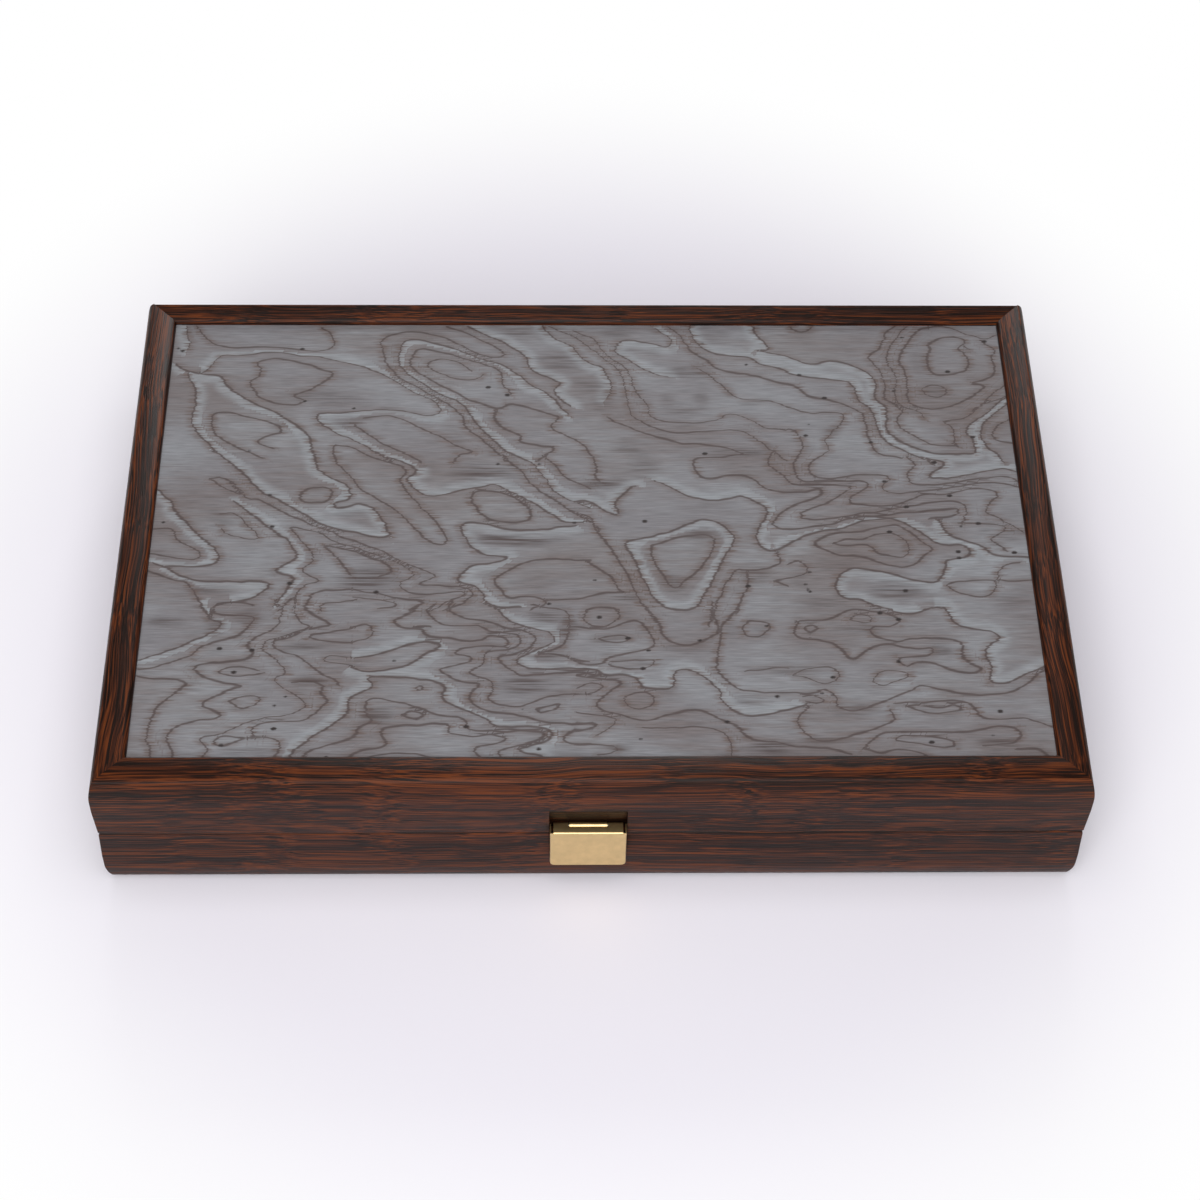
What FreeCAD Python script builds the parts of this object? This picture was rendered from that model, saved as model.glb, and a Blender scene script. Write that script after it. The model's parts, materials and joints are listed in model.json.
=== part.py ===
"""Closed folding backgammon case: two mitred wooden trays joined by butt hinges at the
back and held shut by a pivoting brass clasp at the front.

Millimetres, +Z up. The origin is under the middle of the closed case, on the surface it
lies on. +X runs along the case, the clasp faces -Y and the hinges are at +Y. The lower
tray is called base and the upper one lid. The lid is the base's mirror image in the
parting plane, apart from the clasp's two plates and the notch that the clasp swings in.
"""
import FreeCAD, Part
import math
import os
import Sketcher

SIZES = (
    ("case_length", 470.6, "flat of the lid, left edge to right edge"),
    ("case_depth", 308.7, "flat of the lid, front edge to back edge"),
    ("half_height", 42.2, "height of one tray"),
    ("parting_gap", 0.3, "gap between the closed trays"),
    ("rail_bulge", 4.6, "how far the rails swell past the edge of the flat"),
    ("edge_round", 2.6, "small round between the flat and the swelling"),
    ("belly_start", 15.0, "depth at which the swelling is full"),
    ("belly_end", 23.0, "depth at which it starts to draw in"),
    ("parting_lip", 4.0, "swelling left at the parting line"),
    ("lid_lip_round", 0.8, "rounding of the rim's outer edge, lid"),
    ("base_lip_round", 1.8, "rounding of the rim's outer edge, base"),
    ("back_round", 0.8, "rounding of the back rail's outer edge"),
    ("rail_thickness", 12.8, "edge of the flat to the inside wall"),
    ("bead_radius", 2.1, "round on the rail's edge beside the veneer"),
    ("veneer_recess", 3.0, "flat of the rail down to the veneer"),
    ("veneer_thickness", 0.6, "burl veneer sheet"),
    ("panel_thickness", 4.0, "plywood panel"),
    ("panel_groove", 5.0, "depth of the groove that holds the panel"),
    ("field_thickness", 0.8, "playing surface sheet and its inlays"),
    ("point_count", 6.0, "points along one short side of a tray"),
    ("point_length", 180.0, "point, base to tip"),
    ("point_margin", 3.0, "between a point's base and the side rail"),
    ("point_spacing", 3.0, "between the bases of two points"),
    ("rack_width", 37.5, "channel for the checkers along the front rail"),
    ("partition_thickness", 5.6, "strip between rack and playing surface"),
    ("partition_drop", 1.0, "strip's top below the rim"),
    ("partition_crown", 2.0, "rise of the strip's rounded top"),
    ("divider_thickness", 6.0, "block in the middle of the rack"),
    ("joint_clearance", 0.1, "glued or let-in joint"),
    ("moving_clearance", 0.3, "between pieces that pass each other"),
    ("running_clearance", 0.05, "radial, pin in a knuckle"),
    ("hinge_spacing", 300.0, "centre to centre of the two hinges"),
    ("hinge_length", 50.0, "leaf and barrel length"),
    ("leaf_reach", 10.0, "leaf, back of the case inwards"),
    ("leaf_thickness", 1.2, "hinge leaf"),
    ("barrel_radius", 2.5, "hinge barrel"),
    ("hinge_pin_radius", 1.25, "hinge pin"),
    ("hinge_knuckles", 5.0, "knuckles in one barrel, an odd number"),
    ("hinge_setback", 0.3, "hinge axis behind the back of the case"),
    ("hinge_screw_head", 2.3, "head radius, leaf screws"),
    ("hinge_screw_head_depth", 0.7, "head, leaf screws"),
    ("hinge_screw_shank", 1.1, "shank radius, leaf screws"),
    ("hinge_screw_length", 12.0, "leaf screws"),
    ("hinge_screw_pitch", 18.0, "between a leaf's screws"),
    ("screw_sides", 12.0, "flats that stand for the round of a screw and its hole"),
    ("clasp_offset", -2.1, "clasp centre from the case's centre"),
    ("clasp_width", 37.3, "flap"),
    ("clasp_reach", 8.0, "front of the flap from the edge of the flat"),
    ("clasp_top", 47.4, "top of the flap above the ground"),
    ("clasp_bottom", 19.0, "lower end of the flap"),
    ("clasp_sheet", 0.8, "brass sheet of the flap and both plates"),
    ("clasp_corner", 2.0, "rounded lower corners of the flap"),
    ("clasp_relief", 0.9, "slits beside the flap's top flange"),
    ("clasp_pivot", 2.2, "pin from the edge of the flat"),
    ("clasp_knuckle", 1.5, "outer radius of the flap's curls"),
    ("clasp_curl", 1.8, "outer radius of the fixed plate's curl"),
    ("clasp_pin_radius", 0.8, "pin"),
    ("plate_width", 18.5, "fixed plate and catch plate"),
    ("plate_reach", 9.0, "let-in leg of both plates, edge of the flat inwards"),
    ("plate_screw_head", 1.7, "head radius, plate screws"),
    ("plate_screw_head_depth", 0.5, "head, plate screws"),
    ("plate_screw_shank", 0.9, "shank radius, plate screws"),
    ("plate_screw_length", 9.0, "plate screws"),
    ("plate_screw_pitch", 11.0, "between a plate's two screws"),
    ("plate_screw_inset", 4.5, "plate screws from the edge of the flat"),
    ("notch_top", 62.0, "top of the clasp's notch above the ground"),
    ("notch_straight", 8.0, "notch's upright wall above the pin"),
    ("catch_setback", 3.4, "upright leg of the catch from the edge of the flat"),
    ("catch_bottom", 29.0, "lower end of the catch plate"),
    ("catch_nose", 5.9, "tip of the catch's nose from the edge of the flat"),
    ("catch_nose_height", 31.5, "underside of the catch's nose"),
    ("catch_ramp", 4.0, "sloping upper side of the nose"),
    ("flap_bead", 0.7, "pressed bead inside the flap that snaps under the nose"),
    ("flap_bead_height", 2.1, "pressed bead"),
    ("checker_radius", 18.0, "checker"),
    ("checker_thickness", 9.0, "checker"),
    ("checker_sides", 24.0, "flats that stand for a checker's round rim"),
    ("checker_count", 15.0, "checkers of one colour"),
    ("checker_play", 0.05, "between two checkers in the stack"),
    ("die_size", 14.0, "die"),
    ("die_edge", 1.4, "bevelled edges of a die"),
    ("die_inset", 24.0, "die's centre from the rack's middle"),
    ("tool_overrun", 10.0, "how far a cut runs past the piece"),
)

doc = FreeCAD.newDocument("backgammon_case")
sheet = doc.addObject("Spreadsheet::Sheet", "sizes")
for row, (alias, value, meaning) in enumerate(SIZES, start=1):
    sheet.set(f"A{row}", meaning)
    sheet.set(f"B{row}", str(value))
    sheet.setAlias(f"B{row}", alias)
doc.recompute()


class Size:
    """A length: the text that binds it to the sheet, and its present value."""

    def __init__(self, text, value):
        self.text = text
        self.value = value

    @staticmethod
    def of(item):
        """The item itself, or a plain number as a Size."""
        if isinstance(item, Size):
            return item
        return Size(f"({float(item)!r})", float(item))

    def __add__(self, other):
        other = Size.of(other)
        return Size(f"({self.text} + {other.text})", self.value + other.value)

    def __sub__(self, other):
        other = Size.of(other)
        return Size(f"({self.text} - {other.text})", self.value - other.value)

    def __mul__(self, other):
        other = Size.of(other)
        return Size(f"({self.text} * {other.text})", self.value * other.value)

    def __truediv__(self, other):
        other = Size.of(other)
        return Size(f"({self.text} / {other.text})", self.value / other.value)

    def __neg__(self):
        return self * -1

    __radd__ = __add__
    __rmul__ = __mul__

    def __rsub__(self, other):
        return Size.of(other) - self


def size(alias):
    """The sheet's cell of that name."""
    return Size(f"sizes.{alias}", float(sheet.get(alias)))


# Places that several pieces share
ZERO = Size.of(0)
HALF_LENGTH = size("case_length") / 2
CLOSED_HEIGHT = 2 * size("half_height") + size("parting_gap")
AXIS_HEIGHT = CLOSED_HEIGHT / 2
BACK_OVERHANG = size("hinge_setback") + size("barrel_radius")
CASE_SHIFT = (size("clasp_reach") - BACK_OVERHANG) / 2
FRONT_EDGE = CASE_SHIFT - size("case_depth") / 2
BACK_EDGE = CASE_SHIFT + size("case_depth") / 2
HINGE_AXIS = BACK_EDGE + size("hinge_setback")
INNER_HALF = HALF_LENGTH - size("rail_thickness")
FRONT_WALL = FRONT_EDGE + size("rail_thickness")
BACK_WALL = BACK_EDGE - size("rail_thickness")
PANEL_LOW = size("veneer_recess") + size("veneer_thickness")
FLOOR_LEVEL = PANEL_LOW + size("panel_thickness")
RACK_BACK = FRONT_WALL + size("rack_width")
FIELD_FRONT = RACK_BACK + size("partition_thickness")
RACK_CENTRE = FRONT_WALL + size("rack_width") / 2
OVERRUN = size("tool_overrun")
CLASP_AXIS = size("clasp_top") - size("clasp_knuckle")
NOTCH_WALL = size("clasp_pivot") - size("clasp_curl")
LID_RIM = CLOSED_HEIGHT - size("half_height")

PLANES = {"XY": "XY_Plane", "XZ": "XZ_Plane", "YZ": "YZ_Plane"}


class Half:
    """One tray: depths run from its outer face to its rim."""

    def __init__(self, name, parity):
        self.name = name
        self.lid = name == "lid"
        self.up = -1 if self.lid else 1
        self.parity = parity

    def level(self, depth):
        """Height above the ground of a depth from the tray's outer face."""
        depth = Size.of(depth)
        if self.lid:
            return CLOSED_HEIGHT - depth
        return depth

    @property
    def rim(self):
        return self.level(size("half_height"))


BASE = Half("base", 0)
LID = Half("lid", 1)


class Screw:
    """The sizes of one kind of screw, from its cells on the sheet."""

    def __init__(self, kind):
        self.head = size(f"{kind}_head")
        self.head_depth = size(f"{kind}_head_depth")
        self.shank = size(f"{kind}_shank")
        self.length = size(f"{kind}_length")


HINGE_SCREW = Screw("hinge_screw")
PLATE_SCREW = Screw("plate_screw")


def new_body(label, place=(0, 0, 0), turned=False):
    """A body with its own label, its placement bound to the sheet."""
    body = doc.addObject("PartDesign::Body", label)
    body.Label = label
    if turned:
        body.Placement.Rotation = FreeCAD.Rotation(FreeCAD.Vector(1, 0, 0), 180)
    for axis, item in zip("xyz", place):
        body.setExpression(f".Placement.Base.{axis}", Size.of(item).text)
    return body


def origin_item(body, role):
    """The body's own origin plane or axis of that role."""
    for item in body.Origin.OriginFeatures:
        if item.Role == role:
            return item
    raise ValueError(role)


def new_sketch(body, name, plane, at=ZERO):
    """A sketch on the body's origin plane, moved along that plane's normal."""
    sketch = body.newObject("Sketcher::SketchObject", name)
    sketch.AttachmentSupport = [(origin_item(body, PLANES[plane]), "")]
    sketch.MapMode = "FlatFace"
    sketch.setExpression(".AttachmentOffset.Base.z", Size.of(at).text)
    return sketch


def bind(sketch, dimensions):
    """Dimensions of the sketch, each (kind, geometry references, Size), bound to the sheet."""
    first = sketch.ConstraintCount
    sketch.addConstraint([
        Sketcher.Constraint(kind, *references, item.value) for kind, references, item in dimensions
    ])
    for index, (_, _, item) in enumerate(dimensions, start=first):
        sketch.setExpression(f"Constraints[{index}]", item.text)


def arc_between(start, end, radius):
    """Short arc of that radius from start to end; a negative radius turns clockwise."""
    chord = end - start
    middle = (start + end) * 0.5
    left = FreeCAD.Vector(-chord.y, chord.x, 0).normalize()
    rise = math.sqrt(radius ** 2 - (chord.Length / 2) ** 2)
    centre = middle + left * math.copysign(rise, radius)
    first, last = (start, end) if radius > 0 else (end, start)
    angles = [math.atan2(p.y - centre.y, p.x - centre.x) for p in (first, last)]
    circle = Part.Circle(centre, FreeCAD.Vector(0, 0, 1), abs(radius))
    return Part.ArcOfCircle(circle, *angles)


def draw_loop(sketch, points):
    """A closed outline. A point is (u, v), or (u, v, radius) where an arc leaves it."""
    points = [tuple(Size.of(item) for item in point) for point in points]
    spots = [FreeCAD.Vector(p[0].value, p[1].value, 0) for p in points]
    shapes = []
    ends = []
    for index, point in enumerate(points):
        start = spots[index]
        end = spots[(index + 1) % len(points)]
        clockwise = len(point) == 3 and point[2].value < 0
        if len(point) == 3:
            shapes.append(arc_between(start, end, point[2].value))
        else:
            shapes.append(Part.LineSegment(start, end))
        ends.append((2, 1) if clockwise else (1, 2))
    first = len(sketch.Geometry)
    sketch.addGeometry(shapes)
    joins = []
    dimensions = []
    for index, (point, (head, tail)) in enumerate(zip(points, ends)):
        following = (index + 1) % len(points)
        joins.append(Sketcher.Constraint(
            "Coincident", first + index, tail, first + following, ends[following][0]))
        dimensions.append(("DistanceX", (first + index, head), point[0]))
        dimensions.append(("DistanceY", (first + index, head), point[1]))
        if len(point) == 3:
            radius = -point[2] if tail == 1 else point[2]
            dimensions.append(("Radius", (first + index,), radius))
    sketch.addConstraint(joins)
    bind(sketch, dimensions)


def draw_box(sketch, left, right, low, high):
    """A rectangle."""
    draw_loop(sketch, [(left, low), (right, low), (right, high), (left, high)])


def draw_circle(sketch, u, v, radius):
    """A full circle."""
    u, v, radius = Size.of(u), Size.of(v), Size.of(radius)
    centre = FreeCAD.Vector(u.value, v.value, 0)
    circle = Part.Circle(centre, FreeCAD.Vector(0, 0, 1), radius.value)
    index = sketch.addGeometry(circle)
    bind(sketch, [
        ("DistanceX", (index, 3), u),
        ("DistanceY", (index, 3), v),
        ("Radius", (index,), radius),
    ])


def draw_polygon(sketch, u, v, radius, sides):
    """A regular polygon with its corners on a circle of that radius."""
    turns = [2 * math.pi * (corner + 0.5) / sides for corner in range(sides)]
    draw_loop(sketch, [(u + radius * math.cos(turn), v + radius * math.sin(turn)) for turn in turns])


def screw_sides():
    return int(size("screw_sides").value)


def extrude(body, kind, sketch, length):
    """A Pad or Pocket, half of its length to each side of the sketch."""
    feature = body.newObject(f"PartDesign::{kind}", f"{sketch.Name}_{kind}")
    feature.Profile = sketch
    feature.SideType = "Symmetric"
    feature.setExpression("Length", Size.of(length).text)
    doc.recompute()
    return feature


def pad(body, sketch, length):
    return extrude(body, "Pad", sketch, length)


def pocket(body, sketch, length):
    """A cut, which must take some of the solid away."""
    before = body.Shape.Volume
    feature = extrude(body, "Pocket", sketch, length)
    if not body.Shape.Volume < before:
        raise RuntimeError(f"{feature.Name} cuts nothing")
    return feature


def row_along_x(body, originals, count, pitch):
    """Copies in a row along +X. The sheet gives how many and how far apart."""
    pattern = body.newObject("PartDesign::LinearPattern", f"{originals[0].Name}_row")
    pattern.Originals = originals
    pattern.Direction = (origin_item(body, "X_Axis"), [""])
    pattern.Mode = "Spacing"
    pattern.setExpression("Offset", Size.of(pitch).text)
    pattern.setExpression("Occurrences", Size.of(count).text)
    body.Tip = pattern
    doc.recompute()
    return pattern


def mirror_in_x(body, originals):
    """The same features on the other side of the body's YZ plane."""
    mirror = body.newObject("PartDesign::Mirrored", f"{originals[0].Name}_twin")
    mirror.Originals = originals
    mirror.MirrorPlane = (origin_item(body, "YZ_Plane"), [""])
    body.Tip = mirror
    doc.recompute()
    return mirror


def moulding_outline(half, bulged):
    """Section of a rail as (outward, depth) points from the edge of the flat.

    The outer face of a bulged rail is a small round, a long shallow arc, a straight
    stretch and a slow return to the rim. A plain one is flat. Inside, from the flat, come
    a bead, the veneer's edge, the panel groove and the tray's wall.
    """
    bulge = size("rail_bulge")
    small = size("edge_round")
    start = size("belly_start")
    rim = size("half_height")
    lip = size("parting_lip")
    lip_round = size(f"{half.name}_lip_round")
    wall = -size("rail_thickness")
    groove = wall + size("panel_groove")
    bead = size("bead_radius")
    if bulged:
        # The long arc stands upright where it ends, and the small round runs into it
        inset = bulge - small
        drop = start - small
        belly_radius = (inset * inset + drop * drop) / (2 * inset)
        edge_radius = small * belly_radius / (belly_radius - inset - drop)
        outer = [
            (ZERO, ZERO, edge_radius),
            (small, small, belly_radius),
            (bulge, start),
            (bulge, size("belly_end")),
            (lip, rim - lip_round, lip_round),
            (lip - lip_round, rim),
        ]
    else:
        back_round = size("back_round")
        outer = [(-back_round, ZERO, back_round), (ZERO, back_round), (ZERO, rim)]
    inner = [
        (wall, rim),
        (wall, FLOOR_LEVEL),
        (groove, FLOOR_LEVEL),
        (groove, PANEL_LOW),
        (wall, PANEL_LOW),
        (wall, bead, bead),
        (wall + bead, ZERO),
    ]
    return outer + inner


def placed_outline(outline, edge, outward, half):
    """A section's points as sketch points: outward is -1 or 1 along the sketch's u."""
    points = []
    for point in outline:
        spot = (edge + outward * point[0], half.level(point[1]))
        if len(point) == 3:
            spot += (outward * half.up * point[2],)
        points.append(spot)
    return points


def front_rail(half):
    """Mitred rail with the clasp."""
    body = new_body(f"{half.name}_front_rail")
    section = new_sketch(body, f"{half.name}_front_section", "YZ")
    draw_loop(section, placed_outline(moulding_outline(half, True), FRONT_EDGE, -1, half))
    pad(body, section, 2 * (HALF_LENGTH + size("rail_bulge")))
    cut_mitres(body, half, FRONT_EDGE, 1)
    return body


def back_rail(half):
    """Mitred rail with a flat outer face, so that the open trays lie edge to edge."""
    body = new_body(f"{half.name}_back_rail")
    section = new_sketch(body, f"{half.name}_back_section", "YZ")
    draw_loop(section, placed_outline(moulding_outline(half, False), BACK_EDGE, 1, half))
    pad(body, section, 2 * HALF_LENGTH)
    cut_mitres(body, half, BACK_EDGE, -1)
    return body


def cut_mitres(body, half, edge, inward):
    """Cut both ends of a long rail at 45 degrees through the corners of the flat."""
    sketch = new_sketch(body, f"{body.Name}_mitres", "XY")
    reach = size("rail_thickness") + OVERRUN
    for side in (-1, 1):
        corner = side * HALF_LENGTH
        outside = corner + side * OVERRUN
        inside = corner - side * reach
        draw_loop(sketch, [
            (outside, edge - inward * OVERRUN),
            (inside, edge + inward * reach),
            (outside, edge + inward * reach),
        ])
    pocket(body, sketch, 2 * (CLOSED_HEIGHT + OVERRUN))


def side_rail(half, side):
    """Short rail at the left, side -1, or the right, side 1."""
    name = f"{half.name}_{'left' if side < 0 else 'right'}_rail"
    body = new_body(name)
    section = new_sketch(body, f"{name}_section", "XZ", -CASE_SHIFT)
    outline = moulding_outline(half, True)
    draw_loop(section, placed_outline(outline, side * HALF_LENGTH, side, half))
    pad(body, section, size("case_depth") + 2 * size("rail_bulge"))
    ends = new_sketch(body, f"{name}_ends", "XY")
    corner = side * HALF_LENGTH
    outside = corner + side * OVERRUN
    inside = corner - side * (size("rail_thickness") + OVERRUN)
    reach = size("rail_thickness") + OVERRUN
    draw_loop(ends, [
        (outside, FRONT_EDGE - OVERRUN),
        (inside, FRONT_EDGE - OVERRUN),
        (inside, FRONT_EDGE + reach),
    ])
    draw_loop(ends, [
        (outside, BACK_EDGE),
        (corner, BACK_EDGE),
        (inside, BACK_EDGE - reach),
        (inside, BACK_EDGE + OVERRUN),
        (outside, BACK_EDGE + OVERRUN),
    ])
    pocket(body, ends, 2 * (CLOSED_HEIGHT + OVERRUN))
    return body


def cut_hinge_seats(body, half):
    """Let the leaves, barrels and screws of both hinges into a back rail."""
    half_span = size("hinge_length") / 2 + size("joint_clearance")
    centre = size("hinge_spacing") / 2
    rebate = new_sketch(body, f"{half.name}_barrel_rebate", "YZ", centre)
    draw_circle(rebate, HINGE_AXIS, AXIS_HEIGHT, size("barrel_radius") + size("moving_clearance"))
    barrel_cut = pocket(body, rebate, 2 * (size("hinge_length") / 2 + size("moving_clearance")))
    mortise = new_sketch(body, f"{half.name}_leaf_mortise", "XY", half.rim)
    draw_box(mortise, centre - half_span, centre + half_span,
             BACK_EDGE - size("leaf_reach") - size("joint_clearance"), BACK_EDGE + OVERRUN)
    leaf_cut = pocket(body, mortise, 2 * size("leaf_thickness"))
    holes = new_sketch(body, f"{half.name}_leaf_holes", "XY", half.rim)
    for step in (-1, 0, 1):
        draw_polygon(holes, centre + step * size("hinge_screw_pitch"), leaf_screw_line(),
                     size("hinge_screw_shank") + size("joint_clearance"), screw_sides())
    hole_cut = pocket(body, holes, 2 * (size("hinge_screw_length") + size("moving_clearance")))
    mirror_in_x(body, [barrel_cut, leaf_cut, hole_cut])


def leaf_screw_line():
    """Where a leaf's screws lie: halfway between its inner edge and its barrel."""
    barrel_side = HINGE_AXIS - size("barrel_radius") - size("moving_clearance")
    return (BACK_EDGE - size("leaf_reach") + barrel_side) / 2


def cut_clasp_notch(body):
    """The milled notch in the lid's front rail, with a scooped top.

    The upright wall carries the fixed plate, whose other leg is let into the rim.
    """
    bottom = LID_RIM - OVERRUN
    straight_top = CLASP_AXIS + size("notch_straight")
    scoop_depth = size("rail_bulge") - NOTCH_WALL
    scoop_rise = size("notch_top") - straight_top
    scoop_radius = (scoop_depth * scoop_depth + scoop_rise * scoop_rise) / (2 * scoop_depth)
    surface = FRONT_EDGE - size("rail_bulge")
    notch = new_sketch(body, "clasp_notch", "YZ", size("clasp_offset"))
    draw_loop(notch, [
        (surface - OVERRUN, bottom),
        (FRONT_EDGE - NOTCH_WALL, bottom),
        (FRONT_EDGE - NOTCH_WALL, straight_top, scoop_radius),
        (surface, size("notch_top")),
        (surface - OVERRUN, size("notch_top")),
    ])
    pocket(body, notch, size("clasp_width") + 2 * size("moving_clearance"))
    cut_plate_seat(body, "mount", LID_RIM)


def cut_plate_seat(body, name, rim):
    """Let a clasp plate's horizontal leg and its two screws into a front rail's rim."""
    half_width = size("plate_width") / 2 + size("joint_clearance")
    centre = size("clasp_offset")
    mortise = new_sketch(body, f"{name}_mortise", "XY", rim)
    draw_box(mortise, centre - half_width, centre + half_width,
             FRONT_EDGE - size("rail_bulge") - OVERRUN,
             FRONT_EDGE + size("plate_reach") + size("joint_clearance"))
    pocket(body, mortise, 2 * size("clasp_sheet"))
    holes = new_sketch(body, f"{name}_holes", "XY", rim)
    for side in (-1, 1):
        draw_polygon(holes, centre + side * size("plate_screw_pitch") / 2,
                     FRONT_EDGE + size("plate_screw_inset"),
                     size("plate_screw_shank") + size("joint_clearance"), screw_sides())
    pocket(body, holes, 2 * (size("plate_screw_length") + size("moving_clearance")))


def cut_catch_seat(body):
    """Let the catch plate's upright leg into the front of the base's front rail."""
    recess = new_sketch(body, "catch_recess", "YZ", size("clasp_offset"))
    draw_box(recess, FRONT_EDGE - size("rail_bulge") - OVERRUN, FRONT_EDGE - size("catch_setback"),
             size("catch_bottom") - size("joint_clearance"), size("half_height") + OVERRUN)
    pocket(body, recess, size("plate_width") + 2 * size("joint_clearance"))
    cut_plate_seat(body, "catch", size("half_height"))


def panel(half):
    """Plywood sheet, held in the grooves of all four rails."""
    body = new_body(f"{half.name}_panel")
    bite = size("panel_groove") - size("joint_clearance")
    sketch = new_sketch(body, f"{half.name}_panel_outline", "XY",
                        half.level(PANEL_LOW + size("panel_thickness") / 2))
    draw_box(sketch, -INNER_HALF - bite, INNER_HALF + bite, FRONT_WALL - bite, BACK_WALL + bite)
    pad(body, sketch, size("panel_thickness"))
    return body


def outer_veneer(half):
    """Burl sheet on the outside of the panel, between the rails."""
    body = new_body(f"{half.name}_veneer")
    sketch = new_sketch(body, f"{half.name}_veneer_outline", "XY",
                        half.level(PANEL_LOW - size("veneer_thickness") / 2))
    draw_box(sketch, -INNER_HALF, INNER_HALF, FRONT_WALL, BACK_WALL)
    pad(body, sketch, size("veneer_thickness"))
    return body


def draw_points(sketch, half, colour, grow=ZERO):
    """The tray's points of one colour, 0 or 1, as triangles that start at the side rails.

    Neighbours differ in colour, also across the field and over the fold.
    """
    count = int(size("point_count").value)
    pitch = (BACK_WALL - FIELD_FRONT) / size("point_count")
    half_base = (pitch - size("point_spacing")) / 2
    for side_index, side in enumerate((-1, 1)):
        foot = side * (INNER_HALF - size("point_margin"))
        tip = foot - side * size("point_length")
        for index in range(count):
            if (index + side_index + half.parity) % 2 != colour:
                continue
            middle = FIELD_FRONT + pitch * (index + 0.5)
            draw_loop(sketch, [(foot, middle - half_base), (tip, middle), (foot, middle + half_base)])


def field(half):
    """Playing surface sheet with an opening for each inlaid point."""
    body = new_body(f"{half.name}_field")
    middle = half.level(FLOOR_LEVEL + size("field_thickness") / 2)
    sketch = new_sketch(body, f"{half.name}_field_outline", "XY", middle)
    draw_box(sketch, -INNER_HALF, INNER_HALF, FIELD_FRONT, BACK_WALL)
    pad(body, sketch, size("field_thickness"))
    openings = new_sketch(body, f"{half.name}_field_openings", "XY", middle)
    for colour in (0, 1):
        draw_points(openings, half, colour)
    pocket(body, openings, 2 * size("field_thickness"))
    return body


def points(half, colour, label):
    """The inlaid points of one colour, flush with the playing surface."""
    body = new_body(f"{half.name}_points_{label}")
    sketch = new_sketch(body, f"{half.name}_points_{label}_outline", "XY",
                        half.level(FLOOR_LEVEL + size("field_thickness") / 2))
    draw_points(sketch, half, colour)
    pad(body, sketch, size("field_thickness"))
    return body


def rack_partition(half):
    """Strip that closes the rack off from the playing surface, with a rounded top."""
    name = f"{half.name}_rack_partition"
    body = new_body(name)
    section = new_sketch(body, f"{name}_section", "YZ")
    crown = size("partition_crown")
    thickness = size("partition_thickness")
    shoulder = size("half_height") - size("partition_drop") - crown
    crown_radius = (thickness * thickness / 4 + crown * crown) / (2 * crown)
    outline = [
        (ZERO, FLOOR_LEVEL),
        (thickness, FLOOR_LEVEL),
        (thickness, shoulder, crown_radius),
        (ZERO, shoulder),
    ]
    draw_loop(section, placed_outline(outline, RACK_BACK, 1, half))
    pad(body, section, 2 * INNER_HALF)
    return body


def rack_divider(half):
    """Block that parts the rack into one channel for each player."""
    name = f"{half.name}_rack_divider"
    body = new_body(name)
    section = new_sketch(body, f"{name}_section", "YZ")
    top = size("half_height") - size("partition_drop") - size("partition_crown")
    draw_loop(section, placed_outline(
        [(ZERO, FLOOR_LEVEL), (size("rack_width"), FLOOR_LEVEL), (size("rack_width"), top),
         (ZERO, top)], FRONT_WALL, 1, half))
    pad(body, section, size("divider_thickness"))
    return body


def screw_holes(body, name, spots, face, screw):
    """Holes through a plate for flush screws, sunk from the face by the depth of a head."""
    for part, radius, depth in (("sink", screw.head, screw.head_depth),
                                ("hole", screw.shank, screw.length)):
        sketch = new_sketch(body, f"{name}_{part}", "XY", face)
        for x, y in spots:
            draw_polygon(sketch, x, y, radius + size("joint_clearance"), screw_sides())
        pocket(body, sketch, 2 * depth)


def hinge_leaf(half, side):
    """One leaf of a butt hinge about its barrel's axis, with its share of the knuckles.

    The base's leaf has the first, third and fifth knuckle, the lid's leaf the others.
    """
    name = f"hinge_{'left' if side < 0 else 'right'}_{half.name}_leaf"
    place = (side * size("hinge_spacing") / 2, HINGE_AXIS, AXIS_HEIGHT)
    body = new_body(name, place)
    half_length = size("hinge_length") / 2
    face = -half.up * size("parting_gap") / 2
    middle = face - half.up * size("leaf_thickness") / 2
    inner = -size("hinge_setback") - size("leaf_reach")
    clear = -size("barrel_radius") - size("moving_clearance")
    plate = new_sketch(body, f"{name}_plate", "XY", middle)
    draw_box(plate, -half_length, half_length, inner, clear)
    pad(body, plate, size("leaf_thickness"))

    share = size("hinge_length") / size("hinge_knuckles")
    width = share - size("moving_clearance")
    total = int(size("hinge_knuckles").value)
    first = 1 if half.lid else 0
    count = (size("hinge_knuckles") - 1) / 2 if half.lid else (size("hinge_knuckles") + 1) / 2
    start = share * (first + 0.5) - half_length
    tab = new_sketch(body, f"{name}_tab", "XY", middle)
    draw_box(tab, start - width / 2, start + width / 2, clear - size("leaf_thickness"),
             -size("hinge_pin_radius") - 2 * size("running_clearance"))
    tab_pad = pad(body, tab, size("leaf_thickness"))
    ring = new_sketch(body, f"{name}_knuckle", "YZ", start)
    draw_circle(ring, 0, 0, size("barrel_radius"))
    ring_pad = pad(body, ring, width)
    if total > 1:
        row_along_x(body, [tab_pad, ring_pad], count, 2 * share)
    bore = new_sketch(body, f"{name}_bore", "YZ")
    draw_circle(bore, 0, 0, size("hinge_pin_radius") + size("running_clearance"))
    pocket(body, bore, 2 * size("hinge_length"))
    spots = [(step * size("hinge_screw_pitch"), leaf_screw_line() - HINGE_AXIS)
             for step in (-1, 0, 1)]
    screw_holes(body, name, spots, face, HINGE_SCREW)
    return body


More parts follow.
